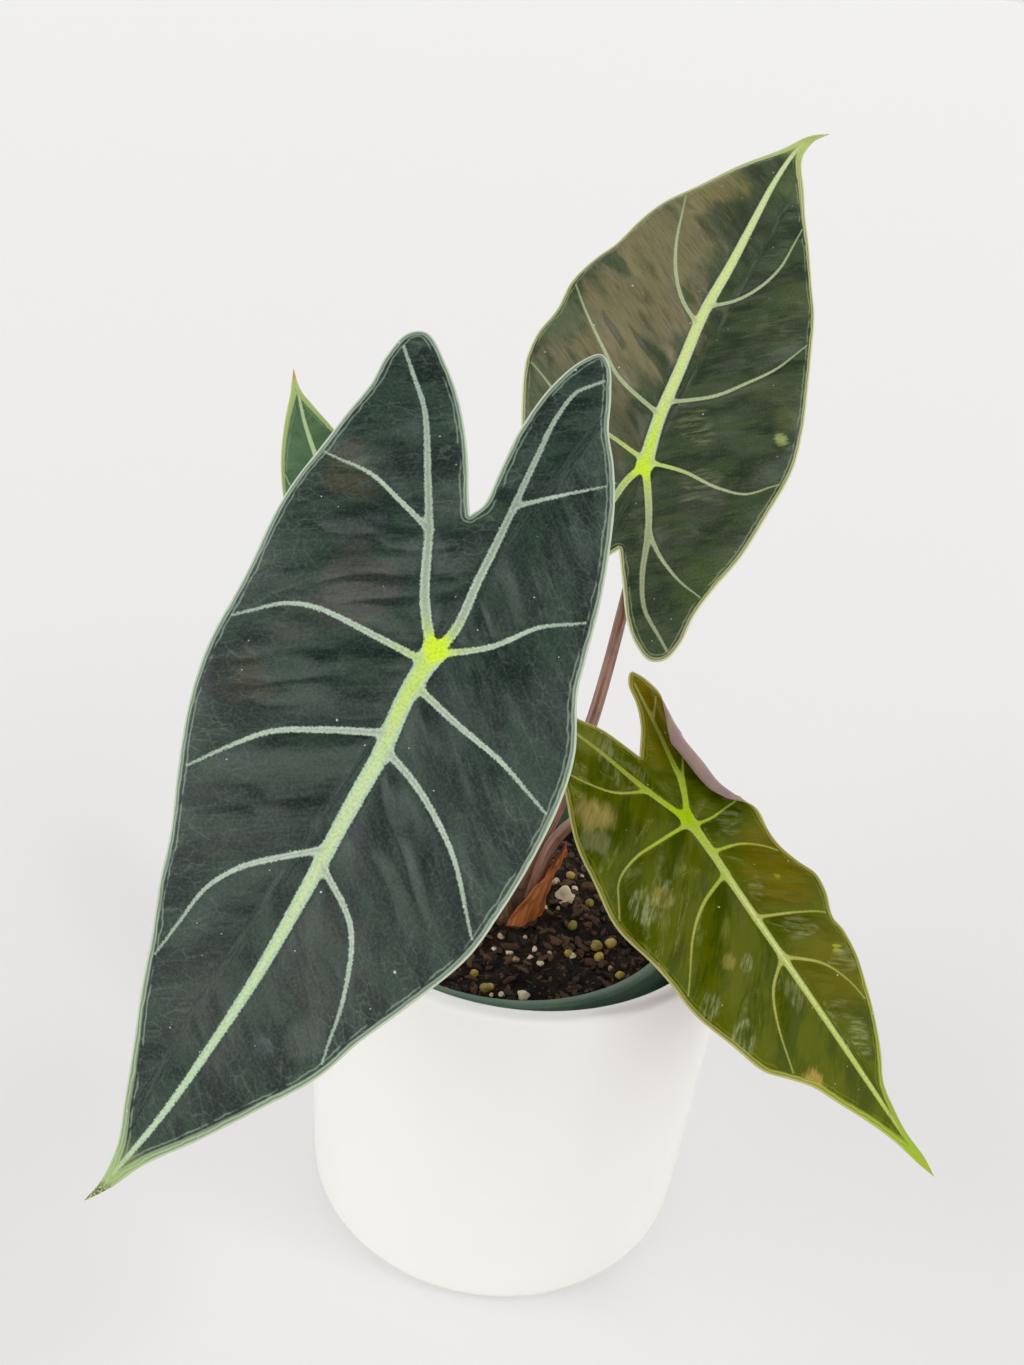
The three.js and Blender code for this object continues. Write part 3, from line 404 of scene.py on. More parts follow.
class Shader(Nodes):
    """A material under construction."""

    def __init__(self, name):
        self.material = bpy.data.materials.new(name)
        super().__init__(self.material)

    def attribute(self, name, output="Fac"):
        return self.node("Attribute", output=output, attribute_name=name)

    def place(self):
        return self.node("NewGeometry", output="Position")

    def vector(self, x, y, z):
        return self.node("CombineXYZ", {0: x, 1: y, 2: z})

    def noise(self, vector, scale, detail=2.0, roughness=0.5):
        inputs = {"Vector": vector, "Scale": scale, "Detail": detail, "Roughness": roughness}
        return self.node("TexNoise", inputs)

    def paint(self, colour, *layers):
        """A colour under layers, each the share that it covers and its own colour."""
        for share, layer in layers:
            low, high = (srgb(*c) if isinstance(c, tuple) else c for c in (colour, layer))
            colour = self.node("Mix", {0: share, 6: low, 7: high}, 2, data_type="RGBA")
        return colour

    def distance(self, x, y):
        return self.math("SQRT", x * x + y * y)

    def bump(self, height, depth_mm):
        return self.node("Bump", {"Height": height, "Distance": depth_mm * MM, "Strength": 1.0})

    def finish(self, colour, roughness, normal=None, **constants):
        """The finished material. A constant's name is its socket's, with _ for each space."""
        inputs = self.tree.nodes["Principled BSDF"].inputs
        self.put(inputs["Base Color"], colour)
        self.put(inputs["Roughness"], roughness)
        if normal:
            self.put(inputs["Normal"], normal)
        for name, value in constants.items():
            inputs[name.replace("_", " ")].default_value = value
        return self.material


def leaf_material(name, look):
    """A blade's finish, painted over its flat frame from the attributes that blade_side makes."""
    s = Shader(name)
    step = s.step
    flat = s.attribute("flat", "Vector")
    x, y, _ = s.split(flat)
    vein, rib, margin, shade_slope, under = (
        s.attribute(each) for each in ("vein", "rib", "margin", "shade_slope", "under"))
    along, across = lateral(x, s.math("ABSOLUTE", y))
    left = step(y, -1.5, 1.5)

    def streaky(along_scale, across_scale, layer, detail, roughness):
        place = s.vector(along * along_scale, across * across_scale, layer)
        return s.noise(place, 1, detail, roughness)

    fibre = streaky(0.13, 1.5, left * 9, 4, 0.62)
    broad = streaky(0.05, 0.13, left * 7, 4, 0.55)
    smear = streaky(0.07, 0.2, left * 5 + 3, 4, 0.6)
    grain = s.noise(flat, 2.1, 2, 0.5)
    velvet = s.noise(flat, 1.5, 3, 0.75)
    wobble = s.noise(flat, 0.3, 2) - 0.5
    joint = s.distance(x, y)

    # Patches, a painted sheen, tints with painted sheen and shade, glints that are painted
    # reflections, painted shade and highlights of the folds, and velvet of the open blade
    patch = step(broad + (fibre - 0.5) * 0.25, 0.42, 0.56)
    # gleam lays a painted sheen over the patches
    gleam = step(smear + (fibre - 0.5) * 0.4, 0.5, 0.72)
    layers = [(patch, look.blade), (gleam * look.sheen_share, look.sheen)]
    uneven = smear + broad - 1.0
    # Tints: the blade's own mottling, and painted sheen, painted highlights and painted shade where
    # it folds
    for tint_x, tint_y, reach, tint, strength in look.tints:
        ragged = uneven * (1.3 * reach) + (fibre - 0.5) * (0.4 * reach + 5.0)
        share = step(s.distance(x - tint_x, y - tint_y) + ragged, reach, reach * 0.5)
        layers.append((share * (step(fibre, 0.3, 0.62) * 0.6 + 0.55) * strength, tint))
    streak = step(streaky(0.12, 0.8, left * 3, 5, 0.7), 0.42, 0.64)
    # Glints: painted reflections of a window, in streaks
    for glint_x, glint_y, reach, strength in look.glints:
        away = s.distance(x - glint_x, y - glint_y) + uneven * reach * 2.5
        layers.append((step(away, reach, reach * 0.5) * streak * strength, GLINT_COLOUR))
    # Painted shade in the folds' hollows and painted highlights on their crests, from their
    # gradient toward a fixed light
    field = step(margin, 2, 9) * step(vein, 0.1, 1.8) * look.relief
    layers += [(step(shade_slope, 0.02, 0.3) * field, look.deep),
               (step(shade_slope, -0.02, -0.35) * field * 0.45, look.sheen),
               (step(velvet, 0.42, 0.7) * look.velvet, look.sheen),
               (step(velvet, 0.55, 0.3) * look.velvet, look.deep)]

    # The fine network between the veins, from the distance to the edges of small cells
    warp = (grain - 0.5) * 0.5
    place = s.vector(along * 0.26 + warp, across * 0.5 + warp, left * 5)
    cells = s.node("TexVoronoi", {"Vector": place, "Scale": 1}, "Distance",
                   feature="DISTANCE_TO_EDGE")
    outer = step(margin, 20, 3) * step(smear, 0.4, 0.6) * 3 + 1
    layers.append((step(cells, 0.06, 0.0) * outer * look.network, look.vein))

    # Veins: a sunken core, the midrib with its pale edges and the bright joint
    flush = (step(joint + wobble * 8, 30, 4), look.flush)
    inner = step(vein + (grain - 0.5) * 0.8, -0.4, -0.9)
    midrib = s.paint(look.midrib_edge, (inner, s.paint(look.midrib, flush)))
    core = step(vein + (grain - 0.5) * 0.9, -0.2, -0.7)
    reach, strength = look.vein_flush
    hub = s.distance(x + 1.8, y) + wobble * 3
    ridge = s.paint(
        look.vein, (core * 0.6, look.vein_core), (step(joint, reach, 3) * strength, look.flush),
        (step(margin, 16, 2) * 0.3, look.blade), (rib, midrib),
        (step(hub, 4.6, 1.6) * 0.95, look.glow), (step(velvet, 0.42, 0.7) * 0.3, look.blade))
    swollen = vein - step(joint + wobble * 3, 4.0, 1.5) * 0.4
    mask = step(swollen + (grain - 0.5) * look.feather, 0.22, -0.2)

    # Margin: a broken collector vein, fine lines in a paler band, and the spotted tip
    tip_start, tip_end = look.tip
    near_tip = step(x, tip_start - TIP_FADE, tip_end)
    edge = margin - near_tip * look.tip_widening
    line = step(s.math("ABSOLUTE", edge - COLLECTOR_INSET - wobble * 1.2), 0.3, 0.05)
    lines = s.math("SINE", margin * 8 + wobble * 9)
    band = s.paint(look.band, (near_tip, look.tip_band), (step(lines, 0.3, 1.0) * 0.5, look.edge),
                   (step(lines, -0.5, -1.0) * 0.35, look.blade))
    spots = step(grain, 0.44, 0.52) * step(x, tip_end - 6, tip_end - 2)
    specks = step(s.noise(flat, 0.9, 0), 0.86, 0.875)
    below = s.paint(look.under, (step(smear, 0.38, 0.66) * 0.25, look.vein),
                    (step(vein, 0.5, -0.2), look.vein))
    layers += [(mask, ridge), (line * step(broad, 0.38, 0.5) * 0.45, look.collector),
               (step(edge + wobble * 0.5, 1.3, 0.8) * 0.85, band),
               (step(margin, 0.5, 0.2) * 0.85, look.edge),
               (step(x + wobble * 4, tip_start, tip_end) * 0.85, look.tip_colour),
               (spots * 0.85, look.tip_spots), (specks * 0.7, SPECK_COLOUR),
               (step(under, 0.4, 0.7), below)]
    roughness = look.roughness + (fibre - 0.5) * 0.16 + mask * 0.12
    height = fibre * 0.7 + velvet * 0.3 + step(cells, 0.12, 0.0) * -0.2
    return s.finish(s.paint(look.deep, *layers), roughness, s.bump(height, look.fibre_depth),
                    Specular_IOR_Level=look.gloss, Specular_Tint=look.mirror_tint)


def ceramic_material():
    s = Shader("white_glaze")
    cloud = s.noise(s.place(), 14, 3)
    colour = s.paint((227, 225, 221), (cloud, (233, 231, 227)))
    normal = s.bump(s.noise(s.place(), 60, 2), 0.06)
    return s.finish(colour, 0.22 + cloud * 0.08, normal, IOR=1.5)


def plastic_material():
    s = Shader("green_plastic")
    dust = s.step(s.noise(s.place(), 260, 5, 0.7), 0.5, 0.75)
    colour = s.paint((72, 100, 80), (dust * 0.5, (108, 128, 106)))
    return s.finish(colour, 0.38 + dust * 0.25, s.bump(s.noise(s.place(), 500, 2), 0.03))


def soil_material():
    s = Shader("potting_mix")
    clod = s.step(s.noise(s.place(), 180, 5, 0.65), 0.35, 0.7)
    colour = s.paint((10, 6, 3), (clod, (42, 28, 16)))
    return s.finish(colour, 0.9, s.bump(s.noise(s.place(), 900, 4, 0.7), 0.35), IOR=1.35)


def grain_material(name, dark, light, roughness, depth):
    """Finish of loose grains, each darker or lighter by its own shade."""
    s = Shader(name)
    tone = s.noise(s.place(), 700, 4, 0.6) * 0.6 + s.attribute("shade") * 0.6
    colour = s.paint(dark, (s.step(tone, 0.25, 0.85), light))
    return s.finish(colour, roughness, s.bump(s.noise(s.place(), 1400, 3, 0.6), depth))


def skin_material(name, dark, light, streak, roughness, depth=0.06):
    """Skin of a petiole, the crown or the sheath: flat holds millimetres round and along it."""
    s = Shader(name)
    round_it, along, _ = s.split(s.attribute("flat", "Vector"))
    streaks = s.noise(s.vector(round_it * 1.1, along * 0.06, 0), 1, 4, 0.6)
    mottle = s.noise(s.vector(round_it * 0.4, along * 0.22, 4), 1, 4, 0.6)
    colour = s.paint(dark, (s.step(streaks, 0.35, 0.68), light),
                     (s.step(mottle, 0.5, 0.68) * 0.5, streak))
    return s.finish(colour, roughness, s.bump(streaks, depth))


# Meshes


def make_object(name, points_mm, faces, material, attributes=None, smooth=True):
    """A mesh object from millimetre points; attributes are per point, a number or a flat place."""
    mesh = bpy.data.meshes.new(name)
    corners = [[int(corner) for corner in face] for face in faces]
    mesh.from_pydata((np.asarray(points_mm) * MM).tolist(), [], corners)
    for key, values in (attributes or {}).items():
        kind, field = "FLOAT", "value"
        if values.ndim == 2:
            kind, field = "FLOAT_VECTOR", "vector"
            values = np.column_stack([values, np.zeros(len(values))])
        values = values.astype(np.float32).ravel()
        mesh.attributes.new(key, kind, "POINT").data.foreach_set(field, values)
    mesh.polygons.foreach_set("use_smooth", [smooth] * len(mesh.polygons))
    mesh.materials.append(material)
    mesh.update()
    made = bpy.data.objects.new(name, mesh)
    bpy.context.scene.collection.objects.link(made)
    return made


def dress(piece, slot, *nodes):
    """The piece rides with the plant and stands for the CAD nodes. The slot is not used."""
    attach(piece, "root")
    if nodes:
        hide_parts(*nodes)


def smooth_line(points, spacing, steps=16):
    """Even points along a centripetal curve through the given ones, in any number of dimensions."""
    given = np.asarray(points, float)
    padded = np.vstack([2 * given[0] - given[1], given, 2 * given[-1] - given[-2]])
    dense = []
    for span in zip(padded, padded[1:], padded[2:], padded[3:]):
        gaps = [math.sqrt(np.linalg.norm(b - a)) for a, b in zip(span, span[1:])]
        knots = [0, *np.cumsum(gaps)]
        t = np.linspace(knots[1], knots[2], steps, endpoint=False)[:, None]
        for ends in ((0, 1), (1, 2), (2, 3)), ((0, 2), (1, 3)), ((1, 2),):
            span = [((knots[j] - t) * a + (t - knots[i]) * b) / (knots[j] - knots[i])
                    for (i, j), a, b in zip(ends, span, span[1:])]
        dense += span
    dense = np.vstack([*dense, given[-1:]])
    run = np.concatenate([[0], np.cumsum(np.linalg.norm(np.diff(dense, axis=0), axis=1))])
    stations = np.linspace(0, run[-1], max(3, round(run[-1] / spacing) + 1))
    return np.stack([np.interp(stations, run, column) for column in dense.T], axis=1)


def closed(line):
    return np.vstack([line, line[:1]])


def nearest(points, line, block=4000):
    """Distance from each flat point to a polyline, and the share along it of the nearest place."""
    leg = np.diff(line, axis=0)
    length = np.linalg.norm(leg, axis=1)
    run = np.concatenate([[0], np.cumsum(length)])
    distance, share = np.empty((2, len(points)))
    for first in range(0, len(points), block):
        part = slice(first, first + block)
        off = points[part, None] - line[None, :-1]
        t = np.clip((off * leg).sum(2) / length ** 2, 0, 1)
        gap = np.linalg.norm(off - t[..., None] * leg, axis=2)
        best = gap.argmin(1)
        rows = np.arange(len(best))
        distance[part] = gap[rows, best]
        share[part] = (run[best] + t[rows, best] * length[best]) / run[-1]
    return distance, share


def nearest_within(points, line, reach):
    """As nearest, for the points near the line; the others are put at the reach."""
    distance, share = np.full(len(points), float(reach)), np.zeros(len(points))
    close = ((points > line.min(0) - reach) & (points < line.max(0) + reach)).all(1)
    distance[close], share[close] = nearest(points[close], line)
    return distance, share


NOISE_TABLE = np.random.default_rng(5).uniform(-1, 1, 4096)
NOISE_PRIMES = (73856093, 19349663, 83492791)


def value_noise(points, scale, seed=0.0):
    """Smooth noise between -1 and 1 at points of two or three dimensions."""
    place = np.zeros((len(points), 3))
    place[:, :points.shape[1]] = points * scale
    place[:, 2] += seed
    cell = np.floor(place).astype(np.int64)
    inside = place - cell
    weight = inside ** 3 * (inside * (inside * 6 - 15) + 10)
    total = np.zeros(len(place))
    for corner in range(8):
        bits = np.array([corner & 1, corner >> 1 & 1, corner >> 2 & 1])
        at = (cell + bits) * NOISE_PRIMES
        key = (at[:, 0] ^ at[:, 1] ^ at[:, 2]) % len(NOISE_TABLE)
        total += NOISE_TABLE[key] * np.where(bits, weight, 1 - weight).prod(1)
    return total


def tube_faces(rings, sides):
    """Faces of rings of points, closed at both ends by the two points that follow them."""
    grid = np.arange(rings * sides).reshape(rings, sides)
    turned = np.roll(grid, -1, axis=1)
    quads = np.stack([grid[:-1], turned[:-1], turned[1:], grid[1:]], 2).reshape(-1, 4)
    first = [(grid.size, j, i) for i, j in zip(grid[0], turned[0])]
    last = [(grid.size + 1, i, j) for i, j in zip(grid[-1], turned[-1])]
    return [*quads, *first, *last]


def lathe(profile, sides, centre=(0, 0)):
    """Points and faces of a profile of (radius, height) that starts and ends on the axis."""
    turn = np.linspace(0, 2 * math.pi, sides, endpoint=False)
    rings = [np.stack([centre[0] + r * np.cos(turn), centre[1] + r * np.sin(turn),
                       np.full(sides, z)], 1) for r, z in profile[1:-1]]
    points = np.vstack(rings + [[(*centre, profile[0][1])], [(*centre, profile[-1][1])]])
    return points, tube_faces(len(rings), sides)


def rounded(start, corner, end, steps):
    """Points of a quadratic bend, without its start."""
    p0, p1, p2 = (np.array(p, float) for p in (start, corner, end))
    return [tuple((1 - t) ** 2 * p0 + 2 * t * (1 - t) * p1 + t * t * p2)
            for t in np.linspace(0, 1, steps + 1)[1:]]


# Leaf blades


def blade_middle(leaf, flat):
    """The middle surface of a blade, in the leaf's frame, over flat points.

    It rolls up past the curl's crease, whose place along y goes with x.
    """
    x, y = flat[:, 0], flat[:, 1]
    bow = np.where(x > 0, leaf.tip_bow, leaf.lobe_bow)
    sag = leaf.left_sag * np.where(y > 0, 1, 0.3)
    side = np.where(y > 0, 0, 2)
    wave = (leaf.ripple * (y / leaf.half_width) ** 2
            * np.sin(2 * math.pi * x / leaf.ripple_length + side))
    crease, radius = np.inf, 1
    if leaf.curl:
        crease_x, crease_y = np.array(leaf.curl.line)[::-1].T
        crease = np.interp(x, crease_x, crease_y, left=np.inf, right=np.inf)
        radius = leaf.curl.radius
    held = np.minimum(y, crease)
    height = -bow * x * x - sag * held * held + wave
    turn = np.where(y > crease, (y - held) / radius, 0)
    return np.stack([x, held + radius * np.sin(turn), height + radius * (1 - np.cos(turn))], 1)


def blade_normal(leaf, flat, step=0.05):
    along = blade_middle(leaf, flat + (step, 0)) - blade_middle(leaf, flat - (step, 0))
    across = blade_middle(leaf, flat + (0, step)) - blade_middle(leaf, flat - (0, step))
    normal = np.cross(along, across)
    return normal / np.linalg.norm(normal, axis=1)[:, None]


def leaf_axes(leaf):
    """Rows are the leaf's x, y and z axes in the plant's frame."""
    heading, pitch, roll = (math.radians(angle) for angle in (leaf.heading, leaf.pitch, leaf.roll))
    ex = np.array([math.cos(heading) * math.cos(pitch), math.sin(heading) * math.cos(pitch),
                   math.sin(pitch)])
    level = np.array([-math.sin(heading), math.cos(heading), 0])
    ey = math.cos(roll) * level + math.sin(roll) * np.cross(ex, level)
    return np.stack([ex, ey, np.cross(ex, ey)])


def vein_fields(leaf, midrib, veins, flat):
    """Signed distance to the veins' edges, and the midrib's share of the nearest vein."""
    stations, widths = zip(*leaf.midrib_widths)
    distance, share = nearest(flat, midrib)
    signed = [distance - np.interp(share, stations, widths)]
    for width, line in veins:
        distance, share = nearest_within(flat, line, VEIN_REACH)
        taper = 1 - VEIN_TAPER.share * share ** VEIN_TAPER.power
        signed.append(distance - np.maximum(width * taper, VEIN_TAPER.least))
    signed = np.array(signed)
    lowest = signed.min(0)
    weight = np.exp((lowest - signed) / VEIN_BLEND)
    return lowest - VEIN_BLEND * np.log(weight.sum(0)), weight[0] / weight.sum(0)


def is_inside(points, loop):
    """Which flat points lie inside a closed loop, by counting the sides that each looks across."""
    inside = np.zeros(len(points), bool)
    for (x0, y0), (x1, y1) in zip(loop, np.roll(loop, -1, axis=0)):
        if y0 == y1:
            continue
        crosses = (points[:, 1] > min(y0, y1)) & (points[:, 1] <= max(y0, y1))
        at = x0 + (points[:, 1] - y0) / (y1 - y0) * (x1 - x0)
        inside ^= crosses & (points[:, 0] < at)
    return inside


def hexagonal_lattice(low, high, spacing):
    rows = []
    for row, y in enumerate(np.arange(low[1], high[1], spacing * math.sqrt(3) / 2)):
        x = np.arange(low[0] + (row % 2) * spacing / 2, high[0], spacing)
        rows.append(np.column_stack([x, np.full(len(x), y)]))
    return np.vstack(rows)


def triangulate(loop, lines, spacing):
    """A flat mesh inside a loop, with edges along the lines.

    Returns its points, its counter-clockwise triangles and the numbers of the loop's points.
    """
    lattice = hexagonal_lattice(loop.min(0), loop.max(0), spacing)
    edge, _ = nearest(lattice, closed(loop))
    keep = is_inside(lattice, loop) & (edge > spacing * 0.55)
    edges = [(i, (i + 1) % len(loop)) for i in range(len(loop))]
    total = len(loop)
    for line in lines:
        gap, _ = nearest_within(lattice, line, spacing)
        keep &= gap > spacing * 0.5
        edges += [(total + i, total + i + 1) for i in range(len(line) - 1)]
        total += len(line)
    given = np.vstack([loop, *lines, lattice[keep]])
    found = delaunay_2d_cdt([Vector(p) for p in given], edges, [], 1, 1e-4, True)
    points, triangles = np.array([tuple(point) for point in found[0]]), np.array(found[2])
    place_of = {source: place for place, sources in enumerate(found[3]) for source in sources}
    rim = np.array([place_of[i] for i in range(len(loop))])
    a, b, c = (points[triangles[:, k]] for k in range(3))
    area = (b - a)[:, 0] * (c - a)[:, 1] - (b - a)[:, 1] * (c - a)[:, 0]
    triangles[area < 0] = triangles[area < 0][:, ::-1]
    return points, triangles[is_inside(points[triangles].mean(1), loop)], rim


def vein_lines(leaf, loop):
    """Side veins, each its half width and its centre line run on to the margin."""
    found = []
    for width, route in leaf.veins:
        line = smooth_line(route, VEIN_SPACING)
        step = line[-1] - line[-3]
        step *= VEIN_SPACING / np.linalg.norm(step)
        for _ in range(VEIN_RUN_ON):
            ahead = line[-1:] + step
            clearance = nearest(ahead, closed(loop))[0][0]
            if not is_inside(ahead, loop)[0] or clearance < VEIN_CLEARANCE:
                break
            line = np.vstack([line, ahead])
        found.append((width, line))
    return found


def leaf_folds(flat, depth):
    """Relief of the blade between its veins: folds and creases, deepest round the joint."""
    x, side = flat[:, 0], np.abs(flat[:, 1])
    half = 50 * (flat[:, 1] > 0)
    along, across = lateral(x, side)

    def waves(along_scale, across_scale, seed, weight):
        place = np.column_stack([along * along_scale, across * across_scale + half])
        return weight * value_noise(place, 1, seed)

    reach = 0.35 + 0.8 * np.exp(-np.hypot(x - 15, side) / 45)
    return depth * reach * (waves(*FOLDS) + np.abs(waves(*VALLEYS)) + waves(*CREASES))


def blade_side(leaf, look, flat, upper, margin_line, midrib, veins):
    """The upper or the lower side of a blade: its points in the leaf's frame, and attributes.

    vein is the signed distance to the nearest vein's edge, rib how much of that vein is the
    midrib, margin the distance to the margin, then the folds' gradient toward a fixed light, which
    the finish paints as shade and highlights, and under 1 below.
    """
    vein, rib = vein_fields(leaf, midrib, veins, flat)
    margin, _ = nearest(flat, closed(margin_line))
    half = MARGIN_HALF + (BLADE_HALF - MARGIN_HALF) * (1 - np.exp(-margin / MARGIN_ROUND))
    ridge = 1 / (1 + np.exp(vein / RIDGE_SOFTNESS))
    field = 1 - (1 - np.clip(vein / VEIN_REACH, 0, 0.9) / 0.9) ** 4
    field = field * (1 - np.exp(-margin / FLAT_MARGIN))
    soft = look.quilt * field + leaf_folds(flat, look.folds) * field
    side_vein, more_on_midrib = UPPER_RIDGE if upper else LOWER_RIDGE
    rise = half + (side_vein + more_on_midrib * rib) * ridge
    lift = (rise if upper else -rise) + soft
    # The folds' gradient toward a fixed light, for the finish's painted shade and highlights
    shade_slope = leaf_folds(flat + PAINTED_LIGHT_STEP, look.folds) - leaf_folds(flat - PAINTED_LIGHT_STEP, look.folds)
    points = blade_middle(leaf, flat) + blade_normal(leaf, flat) * lift[:, None]
    return points, {"vein": vein, "rib": rib, "margin": margin,
                    "shade_slope": shade_slope / (2 * np.linalg.norm(PAINTED_LIGHT_STEP)),
                    "under": np.full(len(flat), float(not upper))}


def leaf_piece(name):
    """A blade: two sides over the same outline, joined by a rounded rim."""
    leaf, look = LEAVES[name], LOOKS[name]
    margin_line = np.vstack([smooth_line(leaf.left, MARGIN_SPACING)[:-1],
                             smooth_line(leaf.right, MARGIN_SPACING)[::-1][:-1]])
    midrib = smooth_line(leaf.midrib, VEIN_SPACING)
    veins = vein_lines(leaf, margin_line)
    lines = [midrib] + [line for _, line in veins]
    top, top_faces, top_rim = triangulate(margin_line, lines, TOP_SPACING)
    bottom, bottom_faces, bottom_rim = triangulate(margin_line, [], BOTTOM_SPACING)
    (upper, above), (lower, below) = (
        blade_side(leaf, look, flat, is_upper, margin_line, midrib, veins)
        for flat, is_upper in ((top, True), (bottom, False)))
    along_margin = np.roll(margin_line, -1, axis=0) - np.roll(margin_line, 1, axis=0)
    outward = np.column_stack([along_margin[:, 1], -along_margin[:, 0]])
    outward *= RIM_BULGE / np.linalg.norm(outward, axis=1)[:, None]
    rim = (upper[top_rim] + lower[bottom_rim]) / 2
    rim += blade_middle(leaf, margin_line + outward) - blade_middle(leaf, margin_line)
    points = np.array(leaf.joint) + np.vstack([upper, lower, rim]) @ leaf_axes(leaf)

    rings = top_rim, len(top) + len(bottom) + np.arange(len(rim)), len(top) + bottom_rim
    faces = [*top_faces, *(len(top) + bottom_faces[:, ::-1])]
    for near, far in zip(rings, rings[1:]):
        faces += [*np.column_stack([np.roll(near, -1), near, far, np.roll(far, -1)])]
    attributes = {key: np.concatenate([above[key], below[key], above[key][top_rim]])
                  for key in above}
    attributes["under"][-len(rim):] = RIM_UNDER
    attributes["flat"] = np.vstack([top, bottom, margin_line])
    material = leaf_material(f"leaf_{name}", look)
    piece = make_object(f"blade_{name}", points, faces, material, attributes)
    dress(piece, look.slot, f"leaf_{name}")


# Petioles, crown and sheath


def petiole_piece(name, material):
    """A round stalk, flattened where it meets the underside of its blade."""
    route, leaf, sides = STALKS[name], LEAVES[name], STALK.sides
    azimuth = math.radians(route.azimuth)
    foot = (CROWN.x + CROWN.stalk_circle * math.cos(azimuth),
            CROWN.y + CROWN.stalk_circle * math.sin(azimuth), CROWN.stalk_start)
    line = smooth_line([foot, *route.via, leaf.joint], STALK.spacing)
    share = np.linspace(0, 1, len(line))
    first, last = route.radii
    flare = STALK.flare * np.exp(-share / STALK.flare_share)
    radius = first + (last - first) * np.sqrt(share) + flare
    tangent = np.gradient(line, axis=0)
    tangent /= np.linalg.norm(tangent, axis=1)[:, None]
    across = np.cross(tangent[0], (0, 1, 0))
    turn = np.linspace(0, 2 * math.pi, sides, endpoint=False)
    rings, flats = [], []
    run = 0
    for i, centre in enumerate(line):
        across -= tangent[i] * across.dot(tangent[i])
        across /= np.linalg.norm(across)
        run += 0 if i == 0 else np.linalg.norm(line[i] - line[i - 1])
        up = np.cross(tangent[i], across)
        spokes = np.outer(np.cos(turn), across) + np.outer(np.sin(turn), up)
        rings.append(centre + radius[i] * spokes)
        flats.append(np.column_stack([radius[i] * turn, np.full(sides, run)]))
    points = np.vstack(rings + [line[:1], line[-1:]])
    axes = leaf_axes(leaf)
    local = (points - np.array(leaf.joint)) @ axes.T
    ceiling = blade_middle(leaf, local[:, :2])[:, 2] - STALK.sink
    near = np.linalg.norm(local, axis=1) < STALK.flat_reach
    local[near, 2] = np.minimum(local[near, 2], ceiling[near])
    points = np.array(leaf.joint) + local @ axes
    flats = np.vstack(flats + [[(0, 0)], [(0, run)]])
    piece = make_object(f"stalk_{name}", points, tube_faces(len(line), sides), material,
                        {"flat": flats})
    dress(piece, "petiole", f"petiole_{name}")


def crown_piece(material):
    """The short stem, ringed with the scars of old leaf bases."""
    radius, top, bottom = CROWN.radius, CROWN.top, CROWN.bottom
    profile = [(0, bottom), (radius * 0.8, bottom)]
    profile += [(radius, bottom + 3 + 0.5 * k) for k in range(13)]
    profile += rounded((radius, bottom + 9), (radius, top), (0.01, top), 14)
    points, faces = lathe(profile, 64, (CROWN.x, CROWN.y))
    off = points[:, :2] - (CROWN.x, CROWN.y)
    reach = np.hypot(*off.T)
    angle = np.arctan2(off[:, 1], off[:, 0])
    scars = 0.25 * np.sin(points[:, 2] * 2.1 + 0.6 * np.sin(3 * angle))
    rough = scars + 0.5 * value_noise(points, 0.45, 5)
    points[:, :2] += off * np.where(reach > 0.1, rough / np.maximum(reach, 3), 0)[:, None]
    flat = np.column_stack([angle * radius, points[:, 2]])
    piece = make_object("crown_stem", points, faces, material, {"flat": flat})
    dress(piece, "crown_bark", "crown")


def sheath_piece(material):
    """The dry papery flap at the foot of the petioles, crumpled and torn along its top."""
    s = SHEATH
    share, rise = (each.ravel() for each in np.meshgrid(np.linspace(0, 1, s.columns + 1),
                                                        np.linspace(0, 1, s.rows + 1)))
    spread = s.sweep * (1 - 0.65 * rise ** 2)
    azimuth = np.radians(s.azimuth + spread * (share - 0.5) + 10 * rise)
    flat = np.column_stack([share * s.girth, rise * s.height])
    pleats = 0.22 * np.sin(34 * share + 3 * rise + 2 * value_noise(flat, 0.12, 2))
    pleats += 0.25 * np.sin(11 * share + 5 * rise)
    radius = s.foot_radius + (s.top_radius - s.foot_radius) * rise + pleats
    radius += 0.45 * value_noise(flat, 0.3, 6)
    torn = 1 - 0.1 * rise ** 6 * (1 + value_noise(flat, 0.6, 9) + np.sin(share * 23))
    z = s.foot + s.height * rise * (0.8 + 0.2 * share) * torn
    centre = (CROWN.x, CROWN.y) + np.outer(rise ** 1.4, (s.lean_x, s.lean_y))
    spoke = np.column_stack([np.cos(azimuth), np.sin(azimuth)])
    sheets = [np.column_stack([centre + spoke * (radius + offset)[:, None], z])
              for offset in (0, s.thickness)]
    grid = np.arange(len(z)).reshape(s.rows + 1, s.columns + 1)
    a, b, c, d = (part.ravel() for part in
                  (grid[:-1, :-1], grid[:-1, 1:], grid[1:, 1:], grid[1:, :-1]))
    rim = np.concatenate([grid[0, :-1], grid[:-1, -1], grid[-1, :0:-1], grid[:0:-1, 0]])
    after = np.roll(rim, -1)
    faces = [*(np.column_stack([a, b, c, d]) + len(z)), *np.column_stack([a, d, c, b]),
             *np.column_stack([rim, after, after + len(z), rim + len(z)])]
    piece = make_object("sheath_flap", np.vstack(sheets), faces, material,
                        {"flat": np.vstack([flat, flat])})
    dress(piece, "dry_sheath", "dry_sheath")


# Pots and soil


